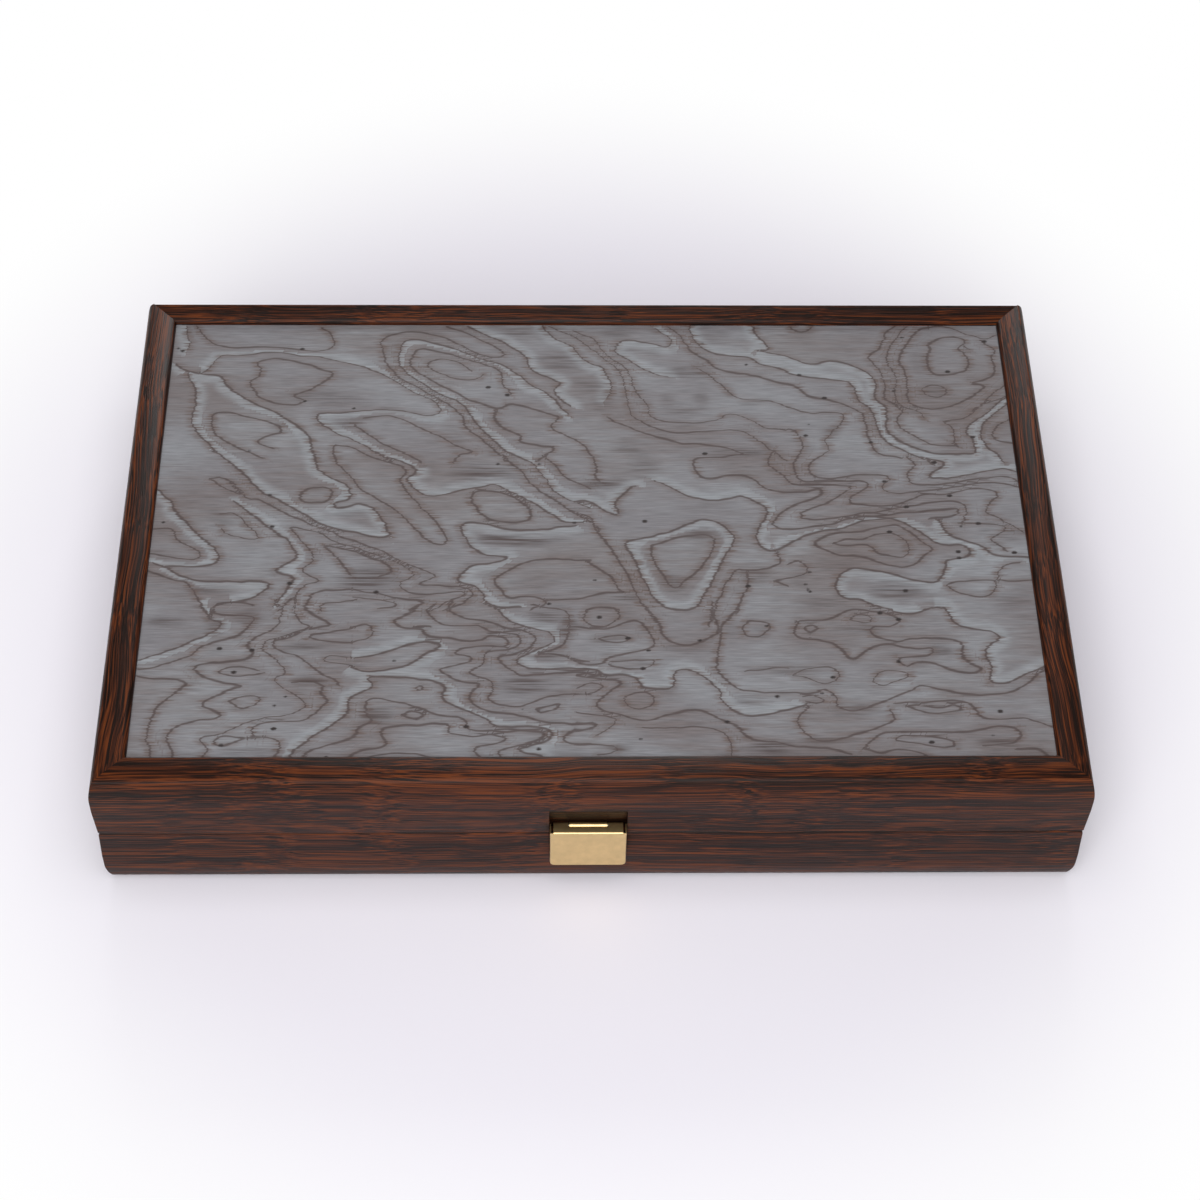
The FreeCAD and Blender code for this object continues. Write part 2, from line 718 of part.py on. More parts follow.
def hinge_pin(side):
    """Pin through all knuckles of one hinge, held in the base's."""
    name = f"hinge_{'left' if side < 0 else 'right'}_pin"
    body = new_body(name, (side * size("hinge_spacing") / 2, HINGE_AXIS, AXIS_HEIGHT))
    section = new_sketch(body, f"{name}_section", "YZ")
    draw_circle(section, 0, 0, size("hinge_pin_radius"))
    pad(body, section, size("hinge_length"))
    return body


def flush_screw(body, name, screw):
    """A screw that points down, the face of its head at the body's origin."""
    features = []
    for part, radius, top, bottom in (("head", screw.head, ZERO, screw.head_depth),
                                      ("shank", screw.shank, screw.head_depth, screw.length)):
        sketch = new_sketch(body, f"{name}_{part}", "XY", -(top + bottom) / 2)
        draw_polygon(sketch, 0, 0, radius, screw_sides())
        features.append(pad(body, sketch, bottom - top))
    return features


def hinge_screws(half):
    """The leaf screws of one tray: three in each leaf."""
    name = f"hinge_{half.name}_screws"
    pitch = size("hinge_screw_pitch")
    place = (-size("hinge_spacing") / 2 - pitch, leaf_screw_line(), half.rim)
    body = new_body(name, place, turned=half.lid)
    screw = flush_screw(body, name, HINGE_SCREW)
    both = body.newObject("PartDesign::MultiTransform", f"{name}_both")
    both.Originals = screw
    in_leaf = row_along_x(body, screw, Size.of(3), pitch)
    over = row_along_x(body, screw, Size.of(2), size("hinge_spacing"))
    both.Transformations = [in_leaf, over]
    body.Tip = both
    doc.recompute()
    return body


def plate_screws(name, rim, turned):
    """The two screws of a clasp plate."""
    place = (size("clasp_offset") - size("plate_screw_pitch") / 2,
             FRONT_EDGE + size("plate_screw_inset"), rim)
    body = new_body(name, place, turned=turned)
    screw = flush_screw(body, name, PLATE_SCREW)
    row_along_x(body, screw, Size.of(2), size("plate_screw_pitch"))
    return body


def clasp_body(label):
    """A body whose own origin is at the clasp's middle, below the edge of the flat."""
    return new_body(label, (size("clasp_offset"), FRONT_EDGE, ZERO))


def plate_spots():
    """The two screws of a clasp plate, from the clasp's middle."""
    return [(side * size("plate_screw_pitch") / 2, size("plate_screw_inset")) for side in (-1, 1)]


def clasp_mount():
    """Fixed plate: let into the lid's rim, up the notch wall and curled round the pin."""
    name = "clasp_mount_plate"
    body = clasp_body(name)
    sheet_thickness = size("clasp_sheet")
    section = new_sketch(body, f"{name}_section", "YZ")
    draw_loop(section, [
        (size("plate_reach"), LID_RIM),
        (size("plate_reach"), LID_RIM + sheet_thickness),
        (-NOTCH_WALL, LID_RIM + sheet_thickness),
        (-NOTCH_WALL, CLASP_AXIS),
        (-NOTCH_WALL - sheet_thickness, CLASP_AXIS),
        (-NOTCH_WALL - sheet_thickness, LID_RIM),
    ])
    pad(body, section, size("plate_width"))
    curl = new_sketch(body, f"{name}_curl", "YZ")
    draw_circle(curl, -size("clasp_pivot"), CLASP_AXIS, size("clasp_curl"))
    pad(body, curl, size("plate_width"))
    bore = new_sketch(body, f"{name}_bore", "YZ")
    draw_circle(bore, -size("clasp_pivot"), CLASP_AXIS,
                size("clasp_pin_radius") + size("running_clearance"))
    pocket(body, bore, 2 * size("plate_width"))
    screw_holes(body, name, plate_spots(), LID_RIM, PLATE_SCREW)
    return body


def clasp_catch():
    """Catch plate: let into the base's rim and front, with a nose that holds the flap."""
    name = "clasp_catch_plate"
    body = clasp_body(name)
    sheet_thickness = size("clasp_sheet")
    rim = size("half_height")
    back = -size("catch_setback")
    front = back - sheet_thickness
    nose = -size("catch_nose")
    low = size("catch_nose_height")
    section = new_sketch(body, f"{name}_section", "YZ")
    draw_loop(section, [
        (size("plate_reach"), rim),
        (front, rim),
        (front, low + size("catch_ramp")),
        (nose, low + sheet_thickness),
        (nose, low),
        (front, low - sheet_thickness),
        (front, size("catch_bottom")),
        (back, size("catch_bottom")),
        (back, rim - sheet_thickness),
        (size("plate_reach"), rim - sheet_thickness),
    ])
    pad(body, section, size("plate_width"))
    screw_holes(body, name, plate_spots(), rim, PLATE_SCREW)
    return body


def clasp_pin():
    """Pin of the clasp, fixed in the mount plate's curl."""
    body = clasp_body("clasp_pin")
    section = new_sketch(body, "clasp_pin_section", "YZ")
    draw_circle(section, -size("clasp_pivot"), CLASP_AXIS, size("clasp_pin_radius"))
    pad(body, section, size("clasp_width") - 2 * size("clasp_sheet") - 2 * size("clasp_relief"))
    return body


def clasp_flap():
    """Folded brass box that swings on the pin.

    It has a front with rounded lower corners, two side cheeks that step forward over the
    base's rail, and a top flange with slits beside the cheeks, an opening for the fixed
    curl and a curl of its own on each side of it.
    """
    name = "clasp_flap"
    body = clasp_body(name)
    sheet_thickness = size("clasp_sheet")
    half_width = size("clasp_width") / 2
    top = size("clasp_top")
    bottom = size("clasp_bottom")
    corner = size("clasp_corner")
    front = -size("clasp_reach")
    inside = front + sheet_thickness
    pivot = -size("clasp_pivot")

    face = new_sketch(body, f"{name}_face", "XZ", -(front + inside) / 2)
    draw_loop(face, [
        (half_width, bottom + corner),
        (half_width, top),
        (-half_width, top),
        (-half_width, bottom + corner, corner),
        (-half_width + corner, bottom),
        (half_width - corner, bottom, corner),
    ])
    pad(body, face, sheet_thickness)

    over_rail = -size("rail_bulge") - size("moving_clearance")
    step = LID_RIM + size("moving_clearance")
    cheek = new_sketch(body, f"{name}_cheek", "YZ", half_width - sheet_thickness / 2)
    draw_loop(cheek, [
        (front, bottom + corner),
        (over_rail, bottom + corner),
        (over_rail, step),
        (pivot, step),
        (pivot, top),
        (front, top),
    ])
    cheek_pad = pad(body, cheek, sheet_thickness)

    flange_end = half_width - sheet_thickness - size("clasp_relief")
    opening = size("plate_width") / 2 + size("moving_clearance")
    curl_clear = pivot - size("clasp_curl") - size("moving_clearance")
    flange = new_sketch(body, f"{name}_flange", "XY", top - sheet_thickness / 2)
    draw_loop(flange, [
        (-flange_end, front),
        (flange_end, front),
        (flange_end, pivot),
        (opening, pivot),
        (opening, curl_clear),
        (-opening, curl_clear),
        (-opening, pivot),
        (-flange_end, pivot),
    ])
    pad(body, flange, sheet_thickness)

    curl_middle = (opening + flange_end) / 2
    curl = new_sketch(body, f"{name}_curl", "YZ", curl_middle)
    draw_circle(curl, pivot, CLASP_AXIS, size("clasp_knuckle"))
    curl_pad = pad(body, curl, flange_end - opening)
    mirror_in_x(body, [cheek_pad, curl_pad])

    bead = new_sketch(body, f"{name}_bead", "YZ")
    bead_top = size("catch_nose_height") - sheet_thickness
    bead_height = size("flap_bead_height")
    draw_loop(bead, [
        (inside, bead_top),
        (inside, bead_top - bead_height),
        (inside + size("flap_bead"), bead_top - bead_height / 2),
    ])
    pad(body, bead, size("plate_width"))

    bore = new_sketch(body, f"{name}_bore", "YZ")
    draw_circle(bore, pivot, CLASP_AXIS, size("clasp_pin_radius") + size("running_clearance"))
    pocket(body, bore, 2 * half_width - 3 * sheet_thickness)
    return body


def checkers(label, side):
    """Fifteen checkers of one colour on edge in the rack, stacked from the side rail."""
    radius = size("checker_radius")
    thickness = size("checker_thickness")
    pitch = thickness + size("checker_play")
    stack = pitch * (size("checker_count") - 1)
    outer = INNER_HALF - size("moving_clearance")
    start = outer - thickness / 2 - stack if side > 0 else thickness / 2 - outer
    sides = int(size("checker_sides").value)
    lowest = radius * math.cos(math.pi / sides)
    place = (start, RACK_CENTRE, FLOOR_LEVEL + lowest + size("checker_play"))
    body = new_body(f"checkers_{label}", place)
    rim = new_sketch(body, f"checker_{label}_rim", "YZ")
    draw_polygon(rim, ZERO, ZERO, radius, sides)
    disc = pad(body, rim, thickness)
    row_along_x(body, [disc], size("checker_count"), pitch)
    return body


def dice():
    """Two dice on the rack's floor, one on each side of the divider."""
    edge = size("die_size")
    body = new_body("dice", (ZERO, RACK_CENTRE, FLOOR_LEVEL + edge / 2))
    half = edge / 2
    cut = size("die_edge")
    outline = [
        (-half, cut - half), (cut - half, -half), (half - cut, -half), (half, cut - half),
        (half, half - cut), (half - cut, half), (cut - half, half), (-half, half - cut),
    ]
    place = size("die_inset")
    sketch = new_sketch(body, "die_outline", "XZ")
    draw_loop(sketch, [(place + u, v) for u, v in outline])
    die = pad(body, sketch, edge)
    mirror_in_x(body, [die])
    return body


def build_half(half):
    """All fixed pieces of one tray."""
    front = front_rail(half)
    back = back_rail(half)
    cut_hinge_seats(back, half)
    if half.lid:
        cut_clasp_notch(front)
    else:
        cut_catch_seat(front)
    pieces = [front, back, side_rail(half, -1), side_rail(half, 1)]
    pieces += [panel(half), outer_veneer(half), field(half)]
    pieces += [points(half, 0, "light"), points(half, 1, "dark")]
    pieces += [rack_partition(half), rack_divider(half)]
    pieces += [hinge_leaf(half, -1), hinge_leaf(half, 1), hinge_screws(half)]
    return pieces


def build():
    """Every piece of the closed case."""
    pieces = build_half(BASE) + build_half(LID)
    pieces += [hinge_pin(-1), hinge_pin(1)]
    pieces += [clasp_mount(), plate_screws("clasp_mount_screws", LID_RIM, True)]
    pieces += [clasp_catch(), plate_screws("clasp_catch_screws", size("half_height"), False)]
    pieces += [clasp_pin(), clasp_flap()]
    pieces += [checkers("light", -1), checkers("dark", 1), dice()]
    return pieces


def write(pieces):
    """Check every object and write each piece to its own file."""
    doc.recompute()
    for item in doc.Objects:
        if "Invalid" in item.State or "Error" in item.State:
            raise RuntimeError(f"{item.Label} failed: {item.State}")
    for piece in pieces:
        if piece.Shape.isNull() or not piece.Shape.isValid():
            raise RuntimeError(f"{piece.Label} has no valid shape")
    os.makedirs("parts", exist_ok=True)
    for piece in pieces:
        piece.Shape.exportStep(f"parts/{piece.Label}.step")


write(build())
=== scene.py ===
"""Looks of a closed folding backgammon case: dark stained rails, grey burl veneers, a brass clasp."""

import json

import bmesh
import bpy
import numpy as np
from bpy.props import FloatProperty, FloatVectorProperty, IntProperty, PointerProperty
from mathutils import Matrix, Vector
from mathutils.geometry import tessellate_polygon

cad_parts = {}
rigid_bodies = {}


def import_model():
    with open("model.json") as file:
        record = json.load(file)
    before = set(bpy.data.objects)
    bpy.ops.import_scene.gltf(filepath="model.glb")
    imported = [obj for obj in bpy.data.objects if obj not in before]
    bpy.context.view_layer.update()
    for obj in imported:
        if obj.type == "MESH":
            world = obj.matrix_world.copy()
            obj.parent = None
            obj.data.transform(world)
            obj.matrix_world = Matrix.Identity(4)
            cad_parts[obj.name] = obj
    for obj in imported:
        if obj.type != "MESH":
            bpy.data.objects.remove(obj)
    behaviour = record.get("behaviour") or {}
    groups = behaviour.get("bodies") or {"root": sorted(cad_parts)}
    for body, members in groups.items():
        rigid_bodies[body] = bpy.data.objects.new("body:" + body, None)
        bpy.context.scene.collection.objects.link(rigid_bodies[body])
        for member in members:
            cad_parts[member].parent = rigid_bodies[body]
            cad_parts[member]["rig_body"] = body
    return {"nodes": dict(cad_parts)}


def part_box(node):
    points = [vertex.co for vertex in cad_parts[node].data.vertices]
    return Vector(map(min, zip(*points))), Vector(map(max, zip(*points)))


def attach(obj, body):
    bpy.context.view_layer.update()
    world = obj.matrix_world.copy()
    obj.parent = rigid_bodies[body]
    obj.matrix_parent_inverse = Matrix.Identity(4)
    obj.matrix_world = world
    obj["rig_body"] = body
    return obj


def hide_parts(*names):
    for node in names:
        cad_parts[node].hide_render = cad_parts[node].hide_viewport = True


bl_info = {
    "name": "Backgammon case",
    "version": (1, 0, 0),
    "blender": (4, 5, 0),
    "location": "View3D > Sidebar > Case",
    "description": "Builds the pieces and finishes of a folding backgammon case on its packed frame",
    "category": "Object",
}

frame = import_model()
MM = 0.001
# Screw heads' radii, and how far the screws of a leaf stand from its outer one, in millimetres.
PLATE_HEAD = 1.7
LEAF_HEAD = 2.3
LEAF_STEPS = (0, 18, 36)


def colour(code):
    """Linear red, green and blue of an sRGB hex value such as "#7b7779"."""
    parts = np.array([int(code[i:i + 2], 16) for i in (1, 3, 5)]) / 255
    return tuple(np.where(parts <= 0.04045, parts / 12.92, ((parts + 0.055) / 1.055) ** 2.4))


def tint(name, description, code):
    """A colour that the user can change, with its sRGB default."""
    return FloatVectorProperty(name=name, description=description, subtype="COLOR", size=3,
                               min=0, max=1, default=colour(code))


def length(name, description, millimetres):
    """A length that the user can change, with its default in millimetres."""
    return FloatProperty(name=name, description=description, unit="LENGTH",
                         default=millimetres * MM, min=0, precision=5)


class CaseSizes(bpy.types.PropertyGroup):
    """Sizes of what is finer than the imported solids."""

    edge_wear: length("Edge rounding", "Radius sanded onto the sharp edges of the rails", 0.35)
    veneer_grid: length("Veneer grid", "Distance between the points that carry the burl", 1.25)
    sheet: length("Brass sheet", "Thickness of the flap's sheet", 0.65)
    bend: length("Bend radius", "Outer radius of the clasp's bends", 0.9)
    corner: length("Corner radius", "Radius of the flap's lower corners", 2.0)
    burr: length("Brass edge", "Rounding of the brass edges", 0.12)
    slot: length("Screw slot", "Width of the slot in a screw's head", 0.6)
    groove: length("Checker groove", "Depth of the rings turned into a checker", 0.5)
    pip: length("Pip radius", "Radius of a pip of a die", 1.1)
    burl_seed: IntProperty(name="Burl seed", description="Which burl is cut", default=11, min=0)


class CaseColours(bpy.types.PropertyGroup):
    """Colours of the finishes."""

    wood_dark: tint("Wood, dark", "Late wood and pores of the stained rails", "#180a04")
    wood_mid: tint("Wood, middle", "Body of the stained rails", "#3d1b0b")
    wood_light: tint("Wood, light", "Lightest streaks of the stained rails", "#632f0e")
    burl_grey: tint("Burl, grey", "Body of the dyed burl veneer", "#767477")
    burl_light: tint("Burl, light", "Silvery band beside a growth line", "#909599")
    burl_brown: tint("Burl, brown", "Brown shade behind a growth line", "#5f504b")
    burl_line: tint("Burl, line", "Growth lines", "#463a38")
    burl_knot: tint("Burl, knot", "Pin knots", "#2b2322")
    brass: tint("Brass", "Sheet brass of the clasp and hinges", "#dcc08b")
    steel: tint("Steel", "Pins", "#b9b6b0")
    field: tint("Field", "Playing surface", "#8d8273")
    point_light: tint("Light points", "Light inlay", "#d8c39c")
    point_dark: tint("Dark points", "Dark inlay", "#3a2a24")
    plywood: tint("Plywood", "Birch plywood", "#c9a777")
    checker_light: tint("Light checkers", "Bone white resin", "#e6ddc8")
    checker_dark: tint("Dark checkers", "Dark brown resin", "#33211c")
    floor: tint("Floor", "Studio paper", "#e8e5ec")


def sizes():
    return bpy.context.scene.case_sizes


def colours():
    return bpy.context.scene.case_colours


# Meshes

def grid_faces(rows, columns, start=0, wrap_rows=False, wrap_columns=False):
    """Quads between the neighbours of a rows by columns grid of points."""
    i = np.arange(rows if wrap_rows else rows - 1)
    j = np.arange(columns if wrap_columns else columns - 1)
    i, j = (a.ravel() for a in np.meshgrid(i, j, indexing="ij"))
    after_i = (i + 1) % rows
    after_j = (j + 1) % columns
    corners = (i * columns + j, after_i * columns + j, after_i * columns + after_j,
               i * columns + after_j)
    return np.stack(corners, axis=1) + start


def mesh_from(name, points, faces):
    """A mesh from an array of points and a list of faces, or arrays of quads."""
    mesh = bpy.data.meshes.new(name)
    listed = [face for group in faces for face in np.atleast_2d(group).tolist()]
    mesh.from_pydata(np.asarray(points, float).tolist(), [], listed)
    mesh.validate()
    return mesh


def add_piece(name, mesh, node, material, sharp=35):
    """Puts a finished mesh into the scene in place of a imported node, and lets it ride that node's
    body. Faces flatter than sharp degrees to each other are shaded as one surface."""
    mesh.shade_smooth()
    mesh.set_sharp_from_angle(angle=np.radians(sharp))
    piece = bpy.data.objects.new(name, mesh)
    bpy.context.scene.collection.objects.link(piece)
    mesh.materials.append(material)
    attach(piece, frame["nodes"][node]["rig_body"])
    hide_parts(node)
    return piece


def outward(mesh):
    """Merges points that coincide and turns all faces outwards."""
    work = bmesh.new()
    work.from_mesh(mesh)
    bmesh.ops.remove_doubles(work, verts=work.verts, dist=1e-6)
    bmesh.ops.recalc_face_normals(work, faces=work.faces)
    work.to_mesh(mesh)
    work.free()
    return mesh


def smoothstep(low, high, x):
    """0 below low, 1 above high, and 3t^2 - 2t^3 between them."""
    t = np.clip((x - low) / (high - low), 0, 1)
    return t * t * (3 - 2 * t)


def box_mm(node):
    """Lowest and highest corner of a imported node, in millimetres."""
    return (np.array(corner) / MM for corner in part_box(node))


def joined(name, *parts, marks=None):
    """One mesh of several parts, each points in millimetres and groups of faces. marks is a value
    for each point that the finish reads as "mark"."""
    points, faces, start = [], [], 0
    for places, groups in parts:
        points.append(places)
        faces += [np.asarray(group) + start for group in groups]
        start += len(places)
    mesh = mesh_from(name, np.vstack(points) * MM, faces)
    if marks is not None:
        mesh.attributes.new("mark", "FLOAT", "POINT").data.foreach_set("value", marks.astype(np.float32))
    return outward(mesh)


def round_hole(x, y, radius, sides=24):
    return arc((x, y), radius, 0, 360 - 360 / sides, sides)


def shifted(part, *shift):
    return part[0] + np.array(shift), part[1]


def arc(centre, radius, start, end, count):
    """Points (u + r cos t, v + r sin t) with t going from start to end, in degrees."""
    t = np.radians(np.linspace(start, end, count))
    return np.stack([centre[0] + radius * np.cos(t), centre[1] + radius * np.sin(t)], axis=1)


def turned(profile, sides, ring=False, order=(0, 1, 2)):
    """A profile of (along, radius) turned about an axis: (a, r cos t, r sin t), in that order of
    directions. A ring's profile closes on itself, another one begins and ends on the axis."""
    along, radius = (np.repeat(column, sides) for column in np.asarray(profile, float).T)
    t = np.tile(np.linspace(0, 2 * np.pi, sides, endpoint=False), len(profile))
    points = np.stack([along, radius * np.cos(t), radius * np.sin(t)], axis=1)[:, order]
    return points, [grid_faces(len(profile), sides, wrap_rows=ring, wrap_columns=True)]


def prism(outline, low, high, order=(0, 1, 2), holes=()):
    """An outline (u, v), with holes, drawn out from low to high in the third direction."""
    loops = [np.array(loop, float) for loop in (outline, *holes)]
    flat = np.vstack(loops)
    count = len(flat)
    points = np.vstack([np.column_stack([flat, np.full(count, w)]) for w in (low, high)])
    walls, start = [], 0
    for loop in loops:
        ring = np.arange(start, start + len(loop))
        after = np.roll(ring, -1)
        walls.append(np.stack([ring, after, after + count, ring + count], axis=1))
        start += len(loop)
    if not holes:
        lid = np.arange(count)[None, :]
    else:
        lid = np.array(tessellate_polygon([[(u, v, 0) for u, v in loop] for loop in loops]))
    return points[:, order], [*walls, lid, lid + count]


def bent_strip(path, columns, keep=None):
    """A sheet's middle surface: a path (y, z) drawn out over columns of x. keep(x, y, z), given the
    middles of the faces, says which of them stay."""
    path, columns = np.asarray(path, float), np.asarray(columns, float)
    x = np.tile(columns, len(path))
    y, z = (np.repeat(part, len(columns)) for part in path.T)
    points = np.stack([x, y, z], axis=1)
    faces = grid_faces(len(path), len(columns))
    if keep:
        faces = faces[keep(*points[faces].mean(axis=1).T)]
    return points, [faces]


def thicken(piece, thickness):
    wall = piece.modifiers.new("sheet", "SOLIDIFY")
    wall.thickness = thickness
    wall.offset = 0
    wall.use_even_offset = True


def soften(piece, width, angle=40):
    edge = piece.modifiers.new("edges", "BEVEL")
    edge.width = width
    edge.segments = 2
    edge.limit_method = "ANGLE"
    edge.angle_limit = np.radians(angle)
    edge.harden_normals = True


def flap_mesh():
    """The clasp's flap as folded sheet: a front with its lower corners rounded, a cheek folded back
    at each end, and a flange folded back at the top that ends in two curls about the pin. Slits
    part the flange from the cheeks, and an opening lets the fixed plate's curl through."""
    low, high = box_mm("clasp_flap")
    plate_low, plate_high = box_mm("clasp_mount_plate")
    sheet, bend, corner = (getattr(sizes(), key) / MM for key in ("sheet", "bend", "corner"))
    knuckle, clearance, slit, tall = 1.5, 0.3, 0.9, 4.0
    middle, half = (low[0] + high[0]) / 2, (high[0] - low[0]) / 2
    pivot_y, pivot_z = high[1] - knuckle, high[2] - knuckle
    cheek, inside = half - sheet / 2, half - 0.8 - slit
    gap = (plate_high[0] - plate_low[0]) / 2 + clearance
    gap_front = plate_low[1] - clearance
    step_y, step_z = pivot_y - 2.7, pivot_z - 3.1
    side = [(cheek, pivot_y), (cheek, step_y), (cheek, low[1] + bend + 0.8)]
    side += arc((half - bend, low[1] + bend), bend - sheet / 2, 0, -90, 6).tolist()
    side += [(x, low[1] + sheet / 2) for x in (inside, half - corner - 1, gap, 4)]
    across = np.array(side + [(-x, y) for x, y in side[::-1]])
    beyond = np.clip(np.abs(across[:, 0]) - (cheek - corner), 0, corner)
    lift = corner - np.sqrt(corner ** 2 - beyond ** 2)
    rising = [low[2] + lift * (1 - s) + tall * s for s in (0, 0.35, 0.7, 1)]
    rising += [np.full(len(across), z) for z in (step_z - 6, step_z, high[2] - bend, high[2])]
    wall = np.vstack([np.column_stack([across, z]) for z in rising])
    faces = grid_faces(len(rising), len(across))
    x, y, z = wall[faces].mean(axis=1).T
    top_gone = (z > high[2] - bend) & (np.abs(x) < inside) & (y < low[1] + sheet)
    back_gone = (z < step_z) & (y > step_y)
    front = (wall, [faces[~(top_gone | back_gone)]])
    path = [*arc((low[1] + bend, high[2] - bend), bend - sheet / 2, 180, 90, 6),
            (gap_front, high[2] - sheet / 2),
            *arc((pivot_y, pivot_z), knuckle - sheet / 2, 90, -200, 22)]
    columns = across[np.abs(across[:, 0]) <= inside + 1e-6, 0]
    flat = np.unique(np.round(columns[np.abs(columns) < half - bend], 6))
    flange = bent_strip(path, flat, lambda x, y, z: (np.abs(x) > gap) | (y < gap_front))
    return joined("clasp_flap_sheet", shifted(front, middle, 0, 0), shifted(flange, middle, 0, 0))


def screw_spots(node, head, steps, down):
    """Where the screws of a node sit, in the plane of their heads: steps back from each end."""
    low, high = box_mm(node)
    outer, y = high[0] - head, (low[1] + high[1]) / 2
    middle = (low[0] + high[0]) / 2
    return [(middle + sign * (outer - middle - back), y, high[2] if down else low[2])
            for sign in (-1, 1) for back in steps]


def leg_of(node, screws, front, bottom, top):
    """The level leg of a clasp plate, pierced for its two screws."""
    low, high = box_mm(node)
    holes = [round_hole(x, y, PLATE_HEAD + 0.05) for x, y, z in screw_spots(screws, PLATE_HEAD, (0,), True)]
    outline = [(low[0], front), (high[0], front), (high[0], high[1]), (low[0], high[1])]
    return prism(outline, bottom, top, holes=holes)


def mount_mesh():
    """The plate fixed in the lid's rim: a leg under the rim, bent up and curled round the pin. Its
    section is the band between two arcs of 1.8 mm and 1.8 mm less the sheet."""
    low, high = box_mm("clasp_mount_plate")
    sheet, curl, bend = 0.75, 1.8, 0.9
    pivot, leg = (low[1] + curl, high[2] - curl), low[1] + 2 * curl
    section = [(leg + bend, low[2] + sheet), (leg + bend, low[2]),
               *arc((leg + bend - sheet, low[2] + bend), bend, -90, -180, 6),
               *arc(pivot, curl - sheet, 0, 290, 26), *arc(pivot, curl, 290, 0, 30), (leg, low[2] + sheet + 0.15)]
    band = prism(section, low[0], high[0], (2, 0, 1))
    leg_part = leg_of("clasp_mount_plate", "clasp_mount_screws", leg + bend - 0.05, low[2], low[2] + sheet)
    return joined("clasp_mount_sheet", band, leg_part)


def catch_mesh():
    """The plate fixed in the base's rim: a leg on the rim and one down its front, with a nose that
    the flap snaps over."""
    low, high = box_mm("clasp_catch_plate")
    front, sheet, nose, bend = low[1] + 1.7, 0.8, high[2] - 10.3, 1.2
    section = [(front + bend, high[2]), *arc((front + bend, high[2] - bend), bend, 90, 180, 6), (front, nose + 3.6),
               *arc((low[1] + 0.6, nose), 0.6, 150, 210, 5), (front, nose - 1.2), (front, low[2]),
               (front + sheet, low[2]), (front + sheet, high[2] - sheet), (front + bend, high[2] - sheet)]
    leg_part = leg_of("clasp_catch_plate", "clasp_catch_screws", front + bend - 0.05, high[2] - sheet, high[2])
    return joined("clasp_catch_solid", prism(section, low[0], high[0], (2, 0, 1)), leg_part)


def slotted_screw(head, head_depth, shank, length, turn):
    """A countersunk wood screw, its face at z 0 and its point below: turned from a profile up to
    the slot's floor, with the two halves of the head left standing beside the slot."""
    slot, floor, proud = sizes().slot / MM, -0.5 * head_depth, 0.06
    profile = [(floor, 0), (floor, head), (-head_depth, head * 0.86), (-head_depth, shank)]
    profile += [(-a, shank * r) for a in np.arange(head_depth + 1, length - 2, 1.2)
                for a, r in ((a, 1), (a + 0.35, 0.74), (a + 0.8, 0.74))]
    profile += [(2 - length, shank), (-length, 0)]
    parts = [turned(profile, 24, order=(2, 1, 0))]
    for start in (0, 180):
        edge = np.degrees(np.arcsin(slot / 2 / head))
        outline = arc((0, 0), head, start + edge + turn, start + 180 - edge + turn, 17)
        parts.append(prism(outline, floor - 0.02, proud))
    return parts


def screws_mesh(name, node, head, head_depth, shank, steps, down):
    """The screws of a node with their points down or up, each slot turned differently."""
    low, high = box_mm(node)
    parts = []
    for count, spot in enumerate(screw_spots(node, head, steps, down)):
        for points, faces in slotted_screw(head, head_depth, shank, high[2] - low[2], 25 + 67 * count):
            parts.append((points * (1, 1, 1 if down else -1) + np.array(spot), faces))
    return joined(name, *parts)


def hinge_leaf_mesh(name, half, side):
    """A butt hinge's leaf: a pierced plate with rounded far corners, and knuckles that are tubes."""
    low, high = box_mm(f"hinge_{side}_{half}_leaf")
    barrel, bore, thickness, share, chamfer, round_off = 2.5, 1.3, 1.2, 9.7, 0.25, 1.6
    axis_y, axis_z = high[1] - barrel, low[2] + barrel
    inner = axis_z - 0.15 if half == "base" else axis_z + 0.15
    outer = inner - thickness if half == "base" else inner + thickness
    middle, reach = (low[0] + high[0]) / 2, (high[0] - low[0]) / 2
    joint, tab = axis_y - 2.8, axis_y - 1.35
    knuckles = (20, 0, -20) if half == "base" else (10, -10)
    outline = [*arc((round_off - reach, low[1] + round_off), round_off, 180, 270, 5),
               *arc((reach - round_off, low[1] + round_off), round_off, -90, 0, 5), (reach, joint)]
    for at in knuckles:
        right, left = at + share / 2, at - share / 2
        outline += [(right, joint), (right, tab), (left, tab), (left, joint)]
    outline.append((-reach, joint))
    spots = screw_spots(f"hinge_{half}_screws", LEAF_HEAD, LEAF_STEPS, True)
    holes = [round_hole(x - middle, y, LEAF_HEAD + 0.05) for x, y, z in spots if abs(x - middle) < reach]
    parts = [shifted(prism(outline, min(inner, outer), max(inner, outer), holes=holes), middle, 0, 0)]
    h = share / 2
    ring = [(-h, bore + chamfer), (-h, barrel - chamfer), (chamfer - h, barrel), (h - chamfer, barrel),
            (h, barrel - chamfer), (h, bore + chamfer), (h - chamfer, bore), (chamfer - h, bore)]
    parts += [shifted(turned(ring, 40, ring=True), middle + at, axis_y, axis_z) for at in knuckles]
    return joined(name, *parts)


def pin_mesh(name, node):
    """A wire pin with chamfered ends, in the box of its node."""
    low, high = box_mm(node)
    radius = (high[2] - low[2]) / 2
    half, chamfer = (high[0] - low[0]) / 2, 0.3 * radius
    profile = [(-half, 0), (-half, radius - chamfer), (chamfer - half, radius), (half - chamfer, radius),
               (half, radius - chamfer), (half, 0)]
    return joined(name, shifted(turned(profile, 32), *((low + high) / 2)))


